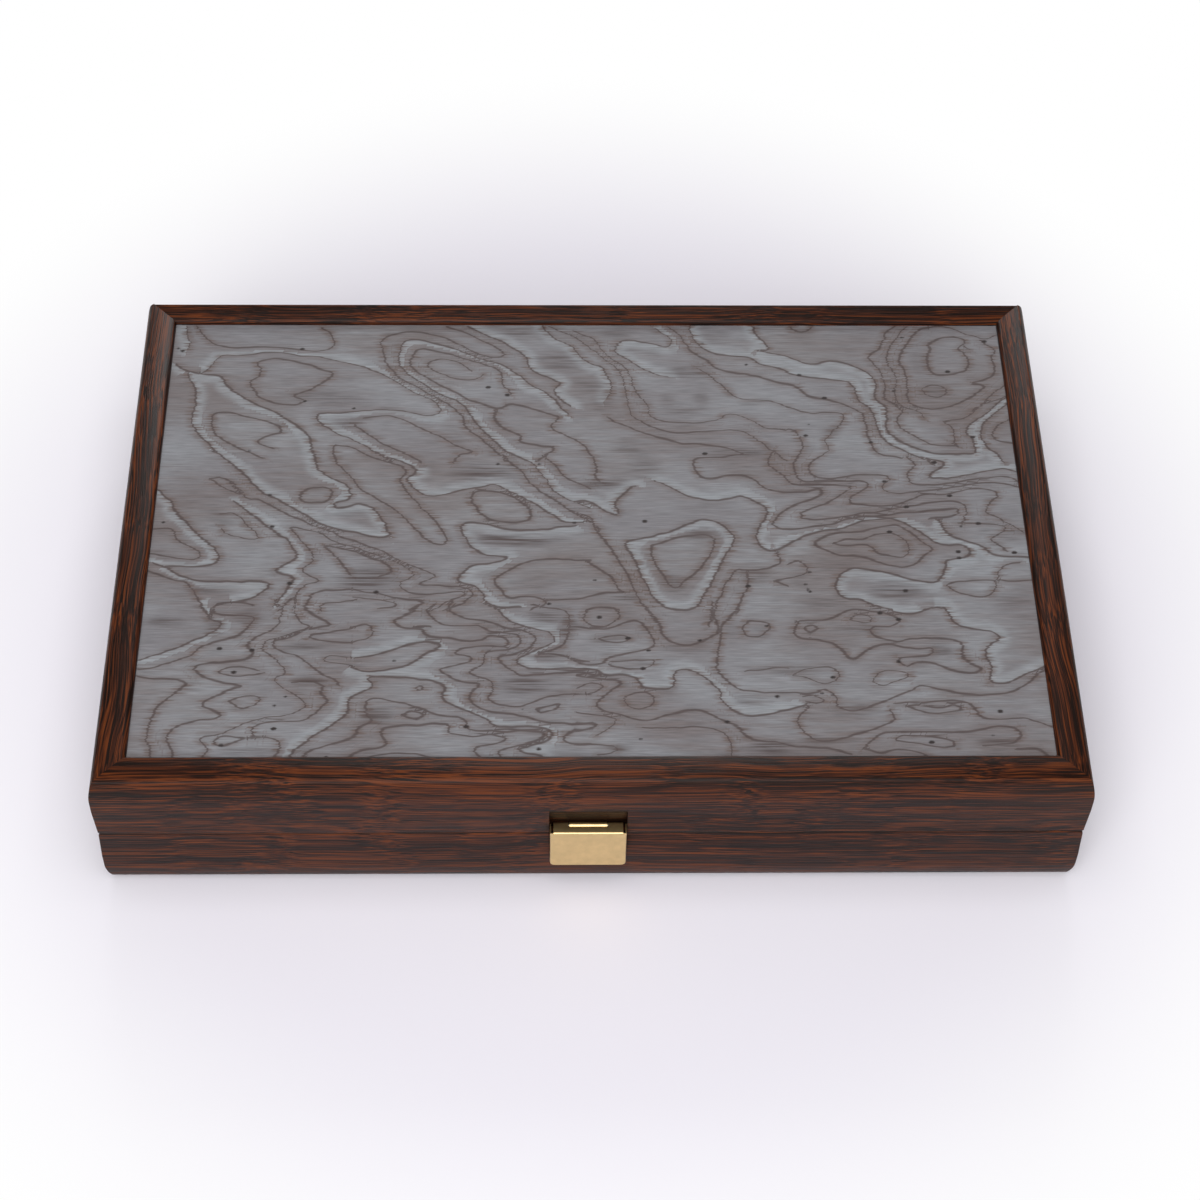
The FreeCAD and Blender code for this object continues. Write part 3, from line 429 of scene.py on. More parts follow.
def checkers_mesh(name, node, count=15):
    """Checkers on edge in a row: turned discs with a rounded rim, two rings cut into each face and
    a shallow dish in the middle."""
    low, high = box_mm(node)
    radius, thick, groove = (high[2] - low[2]) / 2, 9.0, sizes().groove / MM
    face = [(0.7, 0), (0.7, 5.5), (0.25, 6.3), (0, 7.2), (0, 9.8), (groove, 10.2), (groove, 10.8),
            (0, 11.2), (0, 14.2), (groove, 14.6), (groove, 15.2), (0, 15.6), (0, radius - 1.2)]
    rim = [(1.2 - 1.2 * np.cos(t), radius - 1.2 + 1.2 * np.sin(t)) for t in np.radians((25, 50, 75, 90))]
    near = face + rim
    profile = near + [(thick - a, r) for a, r in near[::-1]]
    pitch = (high[0] - low[0] - thick) / (count - 1)
    disc = turned(profile, 56)
    return joined(name, *(shifted(disc, low[0] + k * pitch, (low[1] + high[1]) / 2, (low[2] + high[2]) / 2)
                          for k in range(count)))


PIPS = {1: ((0, 0),), 2: ((-1, -1), (1, 1)), 3: ((-1, -1), (0, 0), (1, 1)),
        4: ((-1, -1), (-1, 1), (1, -1), (1, 1)), 5: ((-1, -1), (-1, 1), (1, -1), (1, 1), (0, 0)),
        6: ((-1, -1), (-1, 0), (-1, 1), (1, -1), (1, 0), (1, 1))}


def dice_mesh(name, node, count=2):
    """Dice: cubes whose edges are rounded by q + r(p - q)/|p - q|, with q the cube's point p held
    inside, and whose pips are dimples of depth 0.45 (1 - d^2) inside their radius."""
    low, high = box_mm(node)
    size = high[2] - low[2]
    half, edge, pip, spread = size / 2, 1.8, sizes().pip / MM, size * 0.26
    cells = 44
    u, v = (a.ravel() for a in np.meshgrid(*[np.linspace(-half, half, cells + 1)] * 2, indexing="ij"))
    parts, marks = [], []
    for number, (axis, sign) in enumerate(((2, 1), (0, 1), (1, 1), (1, -1), (0, -1), (2, -1)), start=1):
        dimple = np.zeros_like(u)
        for a, b in PIPS[number]:
            d = np.hypot(u - a * spread, v - b * spread) / pip
            dimple = np.maximum(dimple, np.clip(1 - d ** 2, 0, 1))
        cube = np.insert(np.stack([u, v], axis=1), axis, sign * half, axis=1)
        held = np.clip(cube, edge - half, half - edge)
        away = cube - held
        points = held + edge * away / np.linalg.norm(away, axis=1)[:, None]
        points[:, axis] -= sign * 0.45 * dimple
        parts.append((points, [grid_faces(cells + 1, cells + 1)]))
        marks.append(smoothstep(0, 0.12, dimple))
    dice = []
    pitch = (high[0] - low[0] - size) / (count - 1)
    roll = np.array([[0, 0, 1], [1, 0, 0], [0, 1, 0]])
    for k in range(count):
        centre = (low[0] + half + k * pitch, (low[1] + high[1]) / 2, (low[2] + high[2]) / 2)
        turn = np.linalg.matrix_power(roll, 2 * k)
        dice += [shifted((points @ turn, faces), *centre) for points, faces in parts]
    return joined(name, *dice, marks=np.concatenate(marks * count))


# Burl

def lattice_noise(x, y, seed):
    """Value noise from -1 to 1: random values at whole numbers, blended between them."""
    values = np.random.default_rng(seed).uniform(-1, 1, (256, 256))
    column = np.floor(x).astype(int)
    row = np.floor(y).astype(int)
    u = smoothstep(0, 1, x - column)
    v = smoothstep(0, 1, y - row)
    near = values[row % 256, column % 256] * (1 - u) + values[row % 256, (column + 1) % 256] * u
    far = (values[(row + 1) % 256, column % 256] * (1 - u)
           + values[(row + 1) % 256, (column + 1) % 256] * u)
    return near * (1 - v) + far * v


def layered_noise(x, y, seed, octaves):
    """Octaves of value noise, each half as large and twice as fine as the one before."""
    return sum(lattice_noise(x * 2 ** k + 31 * k, y * 2 ** k + 17 * k, seed + k) / 2 ** k
               for k in range(octaves))


# Growth lines of the lid's burl, drawn in whole millimetres from the middle of the case. The key
# says how dark a line is and on which side of its run it is pale: 1 left, -1 right, 0 neither.
GROWTH_LINES = {
    (0.7, -1): """
-217,143 -214,131 -215,126""",
    (0.7, 0): """
-62,111 -70,117 -80,119 -86,114 -71,105 -60,105 -56,108; -20,143 -8,136 14,114 18,106 22,82 26,76 40,68
50,67 75,69 84,66 90,60 103,48; -7,140 5,132 8,125 19,114 22,109 24,100 31,87 32,80 36,76 45,74 58,74
68,76 74,80 82,78 95,70 108,69 112,57 109,50; 58,113 68,104 79,92 95,90 113,82 125,81 134,80 134,75 124,62
126,57 121,51; 174,143 168,136 161,121 165,107 164,89 175,82 178,78; 186,143 196,143 213,135 223,138;
178,97 181,93 187,92 191,95 190,99 184,101 179,99; 188,75 200,78 212,91 223,101; 201,79 207,86 223,93;
98,70 108,68; -148,-50 -147,-40 -143,-34 -137,-31 -145,-25 -140,-17 -146,-6 -153,3 -140,0 -127,-7 -110,-14
-98,-20 -89,-27 -96,-33 -92,-38 -80,-40 -65,-38 -64,-41 -72,-45 -78,-50; -118,-44 -134,-46 -135,-50;
-118,-42 -99,-45 -98,-48 -106,-49; -189,12 -181,11 -168,-4 -183,-2 -188,2; 179,-34 186,-32 204,-32 197,-42
182,-38 179,-34; 205,-30 207,-25 212,-21 218,-20; 205,-31 214,-32 223,-31; 166,-50 171,-48 177,-49; 94,-12
96,-19 95,-21; -148,-46 -147,-52 -143,-58 -140,-60 -154,-67 -161,-69 -162,-74 -156,-79 -149,-89 -154,-91
-154,-95 -139,-106 -143,-111 -151,-114 -162,-116 -178,-124 -187,-126 -188,-129 -184,-133 -188,-139;
-160,-88 -168,-90 -177,-90 -182,-88 -178,-85 -170,-85 -163,-87; -176,-105 -169,-102 -162,-103 -162,-106
-169,-110 -176,-105; -118,-79 -129,-78 -131,-81 -117,-84; -86,-97 -84,-96 -82,-98 -85,-99 -86,-97; -8,-98
0,-95 5,-97 1,-100 -8,-102; -8,-112 8,-115 11,-118 2,-126; 24,-121 58,-122 66,-131 66,-138; 15,-104
19,-101 26,-100 30,-103 29,-108 23,-110 17,-108 15,-104; 75,-62 79,-57 88,-58 88,-62 82,-67 76,-66 75,-62;
10,-82 30,-81 26,-86 15,-86 9,-84; 100,-89 108,-86 118,-86 121,-91 114,-95 99,-90; 138,-93 143,-88 151,-88
156,-91 143,-96 138,-94; 75,-88 88,-86 97,-86; 103,-103 108,-102 113,-105 109,-107 104,-106""",
    (0.7, 1): """
-206,109 -196,121 -185,122 -170,124 -156,122 -137,119 -111,109 -92,95 -82,89 -78,81 -85,79 -97,82 -113,83
-132,81 -143,80 -140,73 -131,66 -118,59 -103,47; 36,142 46,133 43,128 36,130 24,133 17,132 15,126 19,121
34,110 42,107; -36,50 -28,44 -17,26 0,16""",
    (0.9, -1): """
-24,143 -18,135 -8,128 -2,119 3,115 8,113 12,100 10,92; 202,64 199,67 201,72 214,84 218,89 223,92; 223,88
207,71 209,58 214,53 216,47""",
    (0.9, 0): """
-211,143 -206,135 -196,128 -170,128 -144,125 -137,129 -138,136 -143,142; -76,143 -65,138 -46,126 -46,121
-56,122 -80,136 -96,139 -111,133 -104,110 -85,95 -72,85 -66,77 -65,70 -57,63 -44,48; -118,77 -100,77
-69,58 -61,54 -67,52 -70,47; -123,72 -108,60 -88,47; 168,144 162,138 158,128 152,123 152,119 156,113
159,98 158,91 167,82 163,77 165,70 178,60 186,58 193,58; 188,74 192,70 192,62 194,58; 223,77 217,73 213,67
215,62 223,60; 111,143 114,140 119,140 122,143; -186,33 -176,23 -170,22 -164,18 -152,10 -122,-5 -106,-12
-94,-20 -78,-28 -86,-34 -66,-35 -60,-39 -64,-45 -73,-50; -222,2 -213,2 -209,-5 -198,-13 -200,-18 -212,-16
-222,-14; -131,58 -133,57 -131,46 -124,38 -117,28 -98,13 -89,1 -80,-7 -73,-7 -75,1 -93,25 -98,35 -95,39
-97,43 -112,50 -124,57 -131,58; -156,-50 -149,-42; -196,35 -189,36 -177,25 -186,28 -196,35; 97,54 93,46
102,37 104,33 110,31 131,31 135,29 122,19 111,14 108,11 113,8 135,11 160,16 179,20 193,18 192,7 190,6;
109,50 106,44 111,34 132,34 144,32 135,22 138,18 157,18 173,25 184,25 199,29 207,28 211,25 206,19 204,13
208,10 222,0; 121,51 116,47 114,41 117,37 126,36 140,38 155,37 152,30 155,26 162,26 183,29 206,33 223,30;
166,50 170,45 166,40 167,32 182,32 214,37 223,33; 192,6 208,5 213,2 209,-2 204,-5 212,-12; 124,-7 130,-5
139,-5 146,-2 154,-1 159,-4 162,-10 159,-16 146,-14 141,-9 130,-9 124,-7; -2,-50 6,-48 13,-50; 95,-21
88,-24 77,-25 73,-25 66,-38 58,-60; 100,-21 106,-19 110,-26 97,-31 93,-32 98,-35; -118,-61 -139,-66
-131,-69 -118,-70; -80,-60 -87,-60; -78,-46 -81,-50 -77,-57 -68,-60 -56,-60 -51,-63 -43,-64 -36,-66
-36,-71 -42,-74 -52,-76 -54,-83 -60,-88 -49,-94 -49,-100 -51,-104 -44,-108 -34,-108 -22,-103 -2,-101;
-118,-60 -111,-59 -108,-62 -110,-67 -118,-70; -140,-139 -126,-140; -108,-139 -97,-136 -86,-136 -75,-139;
-92,-113 -88,-111 -82,-113 -86,-116 -92,-113; 0,-122 -10,-123 -14,-127 -12,-130 0,-131; -3,-54 -1,-50
5,-48 11,-49 14,-54 10,-58 3,-60 -2,-58 -4,-54; -8,-131 10,-132 10,-135 3,-137; 3,-68 8,-66 17,-66 18,-68
12,-70 2,-68; 129,-56 132,-53 138,-53 140,-56 136,-58 129,-56; 106,-61 110,-60 113,-62 109,-64 106,-62;
145,-111 146,-116 143,-119 128,-125 120,-128 108,-129 99,-118 105,-109; 147,-107 168,-106 180,-106
186,-110 187,-115 196,-117 208,-116 223,-121; 153,-109 160,-108 168,-110 176,-108 180,-111 164,-113
153,-109; 146,-129 150,-126 170,-128 175,-131 170,-133 146,-129""",
    (0.9, 1): """
-213,108 -208,94 -209,79 -206,69 -196,56 -186,47; -11,80 -22,95 -30,100 -43,113 -56,119 -85,132 -96,133
-100,129 -101,120 -97,109 -78,94 -67,87 -60,75 -46,57 -33,48; -65,143 -40,128 -33,120 -30,111 -15,102
-18,98 -15,90 -9,86; 55,143 59,131 66,125 76,122 88,120 92,116 102,113 108,109 118,106 136,104 141,100
144,90 150,83 156,62 180,45; -118,59 -104,50 -91,43 -89,40 -94,35 -87,26 -80,24 -56,30 -46,30 -22,14 -14,7
-4,6; 173,50 185,46 177,39 178,36 192,37 212,42 222,40; -54,-46 -48,-49 -38,-58 -21,-64 -19,-69 -24,-73
-37,-81 -31,-86 -20,-86 -8,-86 2,-87; 136,-44 153,-52 161,-52 176,-48 183,-60 199,-64 202,-68 196,-73
194,-79 197,-85 195,-94 201,-95 209,-92 223,-85""",
    (1.1, -1): """
-220,115 -212,110 -196,106 -192,99 -175,86 -165,81 -148,66 -142,46; 90,143 91,137 98,127 92,126 106,122
120,116 130,118 140,116 152,107 154,100 153,91 158,84 157,71 161,64 176,54 196,52 202,54 202,64; -222,28
-214,19 -211,12 -191,-10 -187,-17 -194,-22 -213,-22 -220,-20; -215,-22 -202,-30 -180,-32 -166,-32 -162,-35
-170,-42 -188,-48 -189,-53; 178,9 185,-3 199,-9 205,-15 223,-17; 20,-6 35,-2 52,6 60,8 68,4 73,-2 72,-8
64,-25 55,-44 50,-49 42,-50 35,-47 29,-37 21,-14 18,-9 20,-6""",
    (1.1, 0): """
-151,90 -157,93 -148,97 -136,108 -143,112 -155,117 -168,119 -176,117 -176,114 -174,111 -177,105 -180,102
-172,90 -156,86 -152,88; -165,56 -173,61 -164,66 -161,68 -166,73 -189,81 -198,79 -197,69 -190,61 -169,49;
-41,94 -45,101 -47,110 -55,115 -70,121 -85,126 -91,126 -94,122 -93,112 -72,96 -49,84 -40,87 -20,80 -16,77
-20,71 -14,66 -3,59 1,51; -49,84 -50,77 -43,69 -36,65 -36,61 -25,58 -18,56 -27,47; 44,143 50,137 54,128
59,122 64,119 70,112 90,107 102,102 110,100 116,93 127,90 144,82 146,73 150,55 163,49; 10,78 17,73 44,61
66,58 82,52; 186,143 178,139 168,120 170,112 171,104 171,88 186,84 202,91 212,100 205,102 217,108 218,122
220,126 213,134; 206,127 203,130 204,133 198,136 189,134 184,130 185,126 183,121 185,109 200,110 204,113
205,119 203,124 200,127 203,130; -121,-27 -131,-13 -134,-9 -128,-10 -112,-16 -100,-25 -107,-29; -223,-25
-208,-31 -201,-34 -193,-50; -134,22 -132,27 -137,30 -147,28 -149,23 -146,20 -138,20 -134,22; -49,27 -40,24
-31,15 -31,8 -40,6 -54,10 -61,23 -57,27 -49,27; 0,-18 -30,-19 -48,-31 -45,-38 -40,-42 -28,-42 -22,-46
-30,-50; -45,51 -36,41 -28,30 5,2; -24,51 -17,44 -13,37 0,29; -120,-37 -135,-38 -140,-41 -143,-47;
-119,-37 -96,-42 -84,-44 -90,-50; 2,50 4,44 3,37 5,34; 82,52 68,50 57,49 54,45 60,36 79,38 92,29 100,26
112,27 119,28 119,24 104,17 95,8 95,4 102,2 122,5 135,9 176,14 189,15 188,11 175,9; 174,-12 160,3 153,4
136,0 124,-1 114,-8 126,-15 136,-16 152,-22 162,-22 174,-12; 31,-9 48,-3 63,-4 58,-20 46,-33 42,-36 37,-31
32,-18 31,-9; -8,14 0,9 3,1 17,-23 24,-43 33,-58; -2,-18 5,-25 11,-29 13,-36 17,-39 8,-39 -2,-42 -22,-44;
79,-28 78,-37 72,-52; -169,-47 -175,-45 -186,-46 -189,-50 -184,-53 -172,-53 -167,-55 -175,-66 -188,-70
-194,-74 -197,-78 -212,-84 -222,-86; -158,-44 -154,-49 -154,-56 -158,-62 -166,-67 -170,-72 -166,-76
-170,-80 -190,-83 -194,-86 -188,-91 -180,-94 -170,-96 -176,-98 -189,-107 -180,-112 -182,-115 -196,-118
-202,-122 -204,-127 -201,-134 -200,-140; -222,-90 -212,-92 -202,-92 -197,-95 -201,-99 -211,-110 -214,-126
-211,-132 -211,-140; -143,-47 -140,-51 -130,-59 -142,-62 -149,-67 -156,-69 -157,-72 -151,-76 -143,-79
-133,-88 -126,-92 -124,-95; -146,-94 -137,-93 -131,-96 -132,-101 -129,-106 -139,-116 -149,-117 -158,-118
-163,-121 -163,-125 -154,-127 -150,-131 -153,-140; -158,-126 -168,-127 -177,-131 -181,-129 -179,-126
-172,-126 -163,-127; -139,-140 -135,-134 -118,-128 -113,-124 -113,-121 -106,-117 -110,-112 -110,-106
-104,-104 -84,-109 -76,-113 -65,-115 -61,-118 -60,-122 -45,-123 -24,-124 -29,-129 -45,-135 -42,-140;
-84,-44 -89,-51 -98,-56 -95,-60 -84,-62 -80,-66 -58,-69 -50,-66 -42,-68 -43,-72 -53,-72 -64,-74 -67,-77
-60,-79 -60,-82 -74,-86 -70,-91 -62,-94 -54,-95 -58,-99 -60,-104 -54,-110 -34,-114 -26,-117 -12,-119
0,-118; -69,-45 -71,-49 -64,-55 -52,-57 -42,-61 -33,-63 -27,-67 -30,-73 -38,-77 -46,-79 -38,-88 -30,-90
-8,-88 4,-90; -29,-47 -12,-52 -13,-68 -18,-74 -26,-77 -16,-78 -2,-82; -118,-139 -110,-134 -99,-131
-101,-122 -82,-119 -70,-119 -69,-124 -60,-126 -50,-125 -41,-127 -45,-130 -54,-132 -57,-135 -53,-139;
-27,-110 -16,-107 -19,-111 -25,-112 -27,-110; -12,-61 8,-61 23,-57 31,-69 29,-74 12,-78 5,-83 -3,-84
-12,-79; 24,-43 33,-57 35,-64 40,-70 48,-72 61,-66 63,-60 60,-52 61,-45; 74,-47 65,-60 64,-68 62,-86
70,-98 78,-100 102,-101 110,-100 113,-98 118,-102 119,-108 123,-111 132,-110 150,-102 157,-99 160,-96
178,-101 199,-102 214,-95 219,-90 223,-87; -8,-90 4,-92 13,-94 12,-97 2,-108 20,-116 30,-116 47,-111
56,-113 70,-121 77,-128 88,-130 96,-132 116,-134 124,-137; -8,-118 2,-119 -3,-122 -9,-122; 102,-57 117,-56
130,-50 146,-52 154,-57 150,-60 142,-60 138,-63 142,-67 151,-70 158,-68 178,-69 183,-72 183,-78 186,-83
191,-86 188,-89 180,-88 163,-82 155,-85 151,-80 167,-78 168,-74 160,-74 142,-72 128,-80 119,-71 101,-66
103,-57; 130,-134 140,-125 160,-124 176,-124 201,-121 206,-125 203,-130 188,-132; 130,-134 138,-136
147,-134 158,-137 162,-140; 204,-134 213,-134 218,-138""",
    (1.1, 1): """
-182,20 -165,4 -154,-5 -151,-11 -148,-16 -158,-25 -149,-30 -158,-47; -8,4 -36,1 -56,6 -65,4 -60,-10
-52,-15 -42,-16 -50,-20 -61,-23 -67,-31 -58,-35 -54,-40 -54,-44 -46,-48 -36,-48; -102,-2 -109,14 -117,18
-130,16 -131,20 -124,22 -125,31 -139,40 -145,56; -196,54 -188,49 -170,28 -162,23 -138,6 -118,-1 -108,-3
-102,-2; -8,20 0,20 13,11 14,15 13,19 21,29 24,30; 34,34 55,22 71,22 79,24 91,14 86,1 85,-5 88,-11 95,-12
110,-2 130,3 140,7 158,8 177,-7 190,-9 193,-13 190,-17 180,-19 179,-26 172,-33 154,-28 134,-24 125,-29
124,-38 128,-43 136,-44 142,-48 150,-50; -197,-42 -189,-55 -183,-58 -190,-66 -196,-68 -204,-73 -222,-81;
-146,-140 -142,-133 -134,-126 -119,-113 -118,-104 -107,-97 -108,-91 -85,-92 -76,-94 -71,-98 -73,-103
-68,-108 -51,-116 -47,-120 -26,-121 -20,-123 -22,-128 -35,-134 -25,-137; -120,-79 -108,-78 -86,-70 -78,-70
-75,-72 -88,-82 -98,-86 -110,-88 -118,-85; 2,-87 8,-90 16,-90 22,-92 25,-97 37,-98 40,-95 40,-90 44,-87
50,-88 62,-99 64,-106 77,-114 104,-108""",
}

# x, y and radius of the black pin knots.
PIN_KNOTS = """
-220,127,1 -217.5,125,1.2 -153.5,126.5,1.2 -150,89,1 -177,54.5,1 -53.2,99,1.3 -43,93.5,1.3 -124,84,1
62,131,0.9 85,115.5,1 113,108,1.2 125.5,91.5,1.3 114,65,1.2 148,60.5,1.1 116,73,0.8 170.5,135.5,1
215,132.5,1.4 193,110.5,1.6 163,96.5,1 202,64,1.2 60.5,52.5,1.3 -217.5,6.5,1 -164.5,24.5,1.1 -162,3.5,1.2
-151,-33,1.4 -107.5,-38.5,1.6 -47.5,45.5,1.1 -26,45.5,1 -21,-46,1.1 28,7,1.8 79,-35,1.5 -8,6,1.1
180,46.5,1.4 153,33.5,1.2 163,16.5,1.3 186,24,1.4 190,3.5,1 199,5.5,1.3 153,0,1.6 187,-17,1.2 187,-13,2
215.5,-13.5,1.6 158,-38,1.3 108,-34,1 109,-37,1 110,-38.5,1 -167,-74.5,1.4 -183,-73.5,1.4 -175,-88,1.6
-154,-108,1 -149,-102.5,0.9 -153.5,-121.5,1.5 -178,-131,1.2 -127.5,-138,1 -26,-133.5,1.2 -61,-120.5,1.3
-97,-81,1 -34,-110.5,0.8 18,-67.5,1.4 53.5,-69,1.1 28,-75,1.1 65,-118,1.2 90,-103,1.2 23,-128,1 4,-54.5,2
87,-60,1 144,-52,1.3 153,-56,1.4 118,-91.5,1.2 198,-112,1.5 163,-130,1.6 112,-101,1 117,-102,1 151,-82,1.2
110.5,-26,1 2,-31,1 25,-86,1.3 193,-126,0.9"""

# Where the knife ran along the wood, so that its fibres show as a dark hatching: x, y, half
# length, half width, strength.
HATCHES = """
-139,91,20,5,0.7 -127,74,9,4,0.8 -38,138,9,2.5,0.8 -16,117,11,7,0.9 -22,136,18,5,0.4 14,138,9,3,0.6
28,125,9,3,0.6 52,110,12,5,0.7 42,88,4,6,0.5 60,90,4,6,0.5 50,82,10,3,0.6 2,100,8,5,0.8 7,90,6,8,0.5
68,135,8,6,0.4 20,56,8,5,0.8 78,53,14,3,1.1 90,88,9,2,0.6 178,120,5,12,0.4 185,96,7,5,0.6 127,68,5,7,0.5
5,32,11,3,1.2 -55,40,17,5,1.1 -38,-5,22,3.5,1.4 -28,-32,10,3,0.6 28,42,9,6,0.7 58,-2,8,4,0.8
42,-34,6,5,0.9 60,17,12,4,0.3 -112,-31,14,7,1.2 -187,9,8,5,0.6 -122,12,9,2,0.8 154,-38,13,6,1
210,-44,8,5,0.6 115,-45,11,5,0.6 125,-22,12,3,0.4 215,-3,5,5,0.5 202,0,4,2,0.6 -211,-57,9,3,1
-186,-61,5,5,0.8 -142,-73,12,3,0.8 -138,-94,9,2.5,1.3 -170,-54,7,5,0.7 -33,-96,11,5,1.3 -104,-114,8,5,1
-22,-54,8,5,0.9 -24,-79,6,2.5,0.9 -12,-60,5,7,0.9 8,-69,9,3,0.5 25,-82,9,2.5,0.6 77,-105,8,3.5,0.7
85,-133,10,4,1.2 97,-87,18,3,0.6 70,-62,4,5,0.4 131,-62,12,3,0.6 173,-75,6,4,0.9 127,-111,12,4,0.7
112,-129,12,2,0.8 196,-130,10,3,1 125,-96,14,2.5,0.4 83,-27,8,5,0.8 -165,-134,11,2,0.6 -190,-37,10,2.5,0.7
12,-133,6,2,0.9 48,-74,9,3,0.5 37,-99,6,3,0.4 18,-42,7,3,0.9 -69,62,4,4,0.3 -12,-135,8,3,0.4
105,-33,4,5,0.5"""


def points_of(text):
    """Points written as "x,y x,y", in millimetres."""
    return np.array([point.split(",") for point in text.split()], float)


def smooth_line(corners, spacing=2.0):
    """Catmull-Rom curve through its corners. Between b and c, with a before and d after them, it is
    (2b + (c - a)t + (2a - 5b + 4c - d)t^2 + (3b - a - 3c + d)t^3) / 2."""
    padded = np.vstack([2 * corners[0] - corners[1], corners, 2 * corners[-1] - corners[-2]])
    parts = []
    for a, b, c, d in zip(padded[:-3], padded[1:-2], padded[2:-1], padded[3:]):
        t = np.linspace(0, 1, max(2, int(np.hypot(*(c - b)) / spacing)), endpoint=False)[:, None]
        cubic = 2 * b + (c - a) * t + (2 * a - 5 * b + 4 * c - d) * t ** 2
        parts.append((cubic + (3 * b - a - 3 * c + d) * t ** 3) / 2)
    return np.vstack([*parts, corners[-1:]])


def growth_fields(x, y):
    """For each point: distance to the nearest growth line, the same with a sign that is positive on
    the line's pale side, how dark that line is, how pale its side, and how much it crosses x."""
    reach = 9.0
    near = np.full(x.shape, reach)
    off, ink = near.copy(), np.ones_like(x)
    pale, lean = np.zeros_like(x), np.zeros_like(x)
    for (weight, side), texts in GROWTH_LINES.items():
        for text in texts.split(";"):
            line = smooth_line(points_of(text))
            low, high = line.min(axis=0) - reach, line.max(axis=0) + reach
            found = np.nonzero((x > low[0]) & (x < high[0]) & (y > low[1]) & (y < high[1]))[0]
            run, rise = np.diff(line, axis=0).T
            size = np.maximum(np.hypot(run, rise), 1e-6)
            dx = x[found, None] - line[:-1, 0]
            dy = y[found, None] - line[:-1, 1]
            share = np.clip((dx * run + dy * rise) / size ** 2, 0, 1)
            gap = np.hypot(dx - share * run, dy - share * rise)
            pick = gap.argmin(axis=1)
            each = np.arange(len(found))
            turn = -1 if side < 0 else 1
            left = np.sign(run[pick] * dy[each, pick] - rise[pick] * dx[each, pick]) * turn
            closer = gap[each, pick] < near[found]
            spot, pick = found[closer], pick[closer]
            near[spot] = gap[each, gap.argmin(axis=1)][closer]
            off[spot] = near[spot] * left[closer]
            ink[spot] = weight
            pale[spot] = abs(side)
            lean[spot] = -rise[pick] / size[pick] * turn
    return near, off, ink, pale, lean


def patch_fields(x, y):
    """Hatching, strength exp(-r^4) about each patch, and the distance into the nearest knot."""
    hatch = np.zeros_like(x)
    for px, py, half_length, half_width, strength in points_of(HATCHES):
        across = ((x - px) / half_length) ** 2 + ((y - py) / half_width) ** 2
        hatch = np.maximum(hatch, strength * np.exp(-0.8 * across ** 1.5))
    knot = np.full(x.shape, -9.0)
    for px, py, radius in points_of(PIN_KNOTS):
        knot = np.maximum(knot, min(radius, 1.3) - np.hypot((x - px) * 0.65, y - py))
    return hatch, knot


def veneer_mesh(name, node, up):
    """A flat sheet in the box of its node. Its outer face is a fine grid whose points carry the
    fields of the burl. The sheet below is cut from the same log, turned over lengthwise."""
    low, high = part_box(node)
    step = sizes().veneer_grid
    xs = np.linspace(low.x, high.x, int((high.x - low.x) / step) + 1)
    ys = np.linspace(low.y, high.y, int((high.y - low.y) / step) + 1)
    x, y = (a.ravel() for a in np.meshgrid(xs, ys, indexing="ij"))
    face, back = (high.z, low.z) if up else (low.z, high.z)
    across, along = x / MM * (1 if up else -1), y / MM
    wander_x = 0.7 * layered_noise(across / 9, along / 5, sizes().burl_seed, 2)
    wander_y = 0.5 * layered_noise(across / 7, along / 6, sizes().burl_seed + 5, 2)
    near, off, ink, pale, lean = growth_fields(across + wander_x, along + wander_y)
    hatch, knot = patch_fields(across, along)
    if not up:
        lean = -lean
    grid = np.stack([x, y, np.full_like(x, face)], axis=1)
    rows, columns = len(xs), len(ys)
    index = np.arange(rows * columns).reshape(rows, columns)
    rim = np.concatenate([index[:, 0], index[-1, 1:], index[-2::-1, -1], index[0, -2:0:-1]])
    lower = grid[rim]
    lower[:, 2] = back
    below = np.arange(rows * columns, rows * columns + len(rim))
    walls = np.stack([rim, below, np.roll(below, -1), np.roll(rim, -1)], axis=1)
    mesh = mesh_from(name, np.vstack([grid, lower]), [grid_faces(rows, columns), walls, below[None, :]])
    outward(mesh)
    carried = {"near": near, "off": off, "ink": ink, "pale": pale, "lean": lean, "hatch": hatch,
               "knot": knot}
    for label, values in carried.items():
        attribute = mesh.attributes.new(label, "FLOAT", "POINT")
        attribute.data.foreach_set("value", np.concatenate([values, values[rim]]).astype(np.float32))
    return mesh


# Finishes

def add_node(tree, kind, inputs=None, stops=(), **settings):
    """Adds a node: its settings, then its inputs, each a value or the socket that feeds it."""
    node = tree.nodes.new(kind)
    for key, value in settings.items():
        setattr(node, key, value)
    for place, shade in stops:
        ramp = node.color_ramp
        at_end = place in (0, 1)
        element = ramp.elements[-int(place)] if at_end else ramp.elements.new(place)
        element.color = (*shade, 1)
    for key, value in (inputs or {}).items():
        socket = node.inputs[key]
        if isinstance(value, bpy.types.NodeSocket):
            tree.links.new(value, socket)
        else:
            socket.default_value = value
    return node


def new_material(name):
    """An empty node material and its output."""
    material = bpy.data.materials.new(name)
    material.use_nodes = True
    tree = material.node_tree
    tree.nodes.clear()
    return material, tree, add_node(tree, "ShaderNodeOutputMaterial")


def solid(rgb):
    return (*rgb, 1)


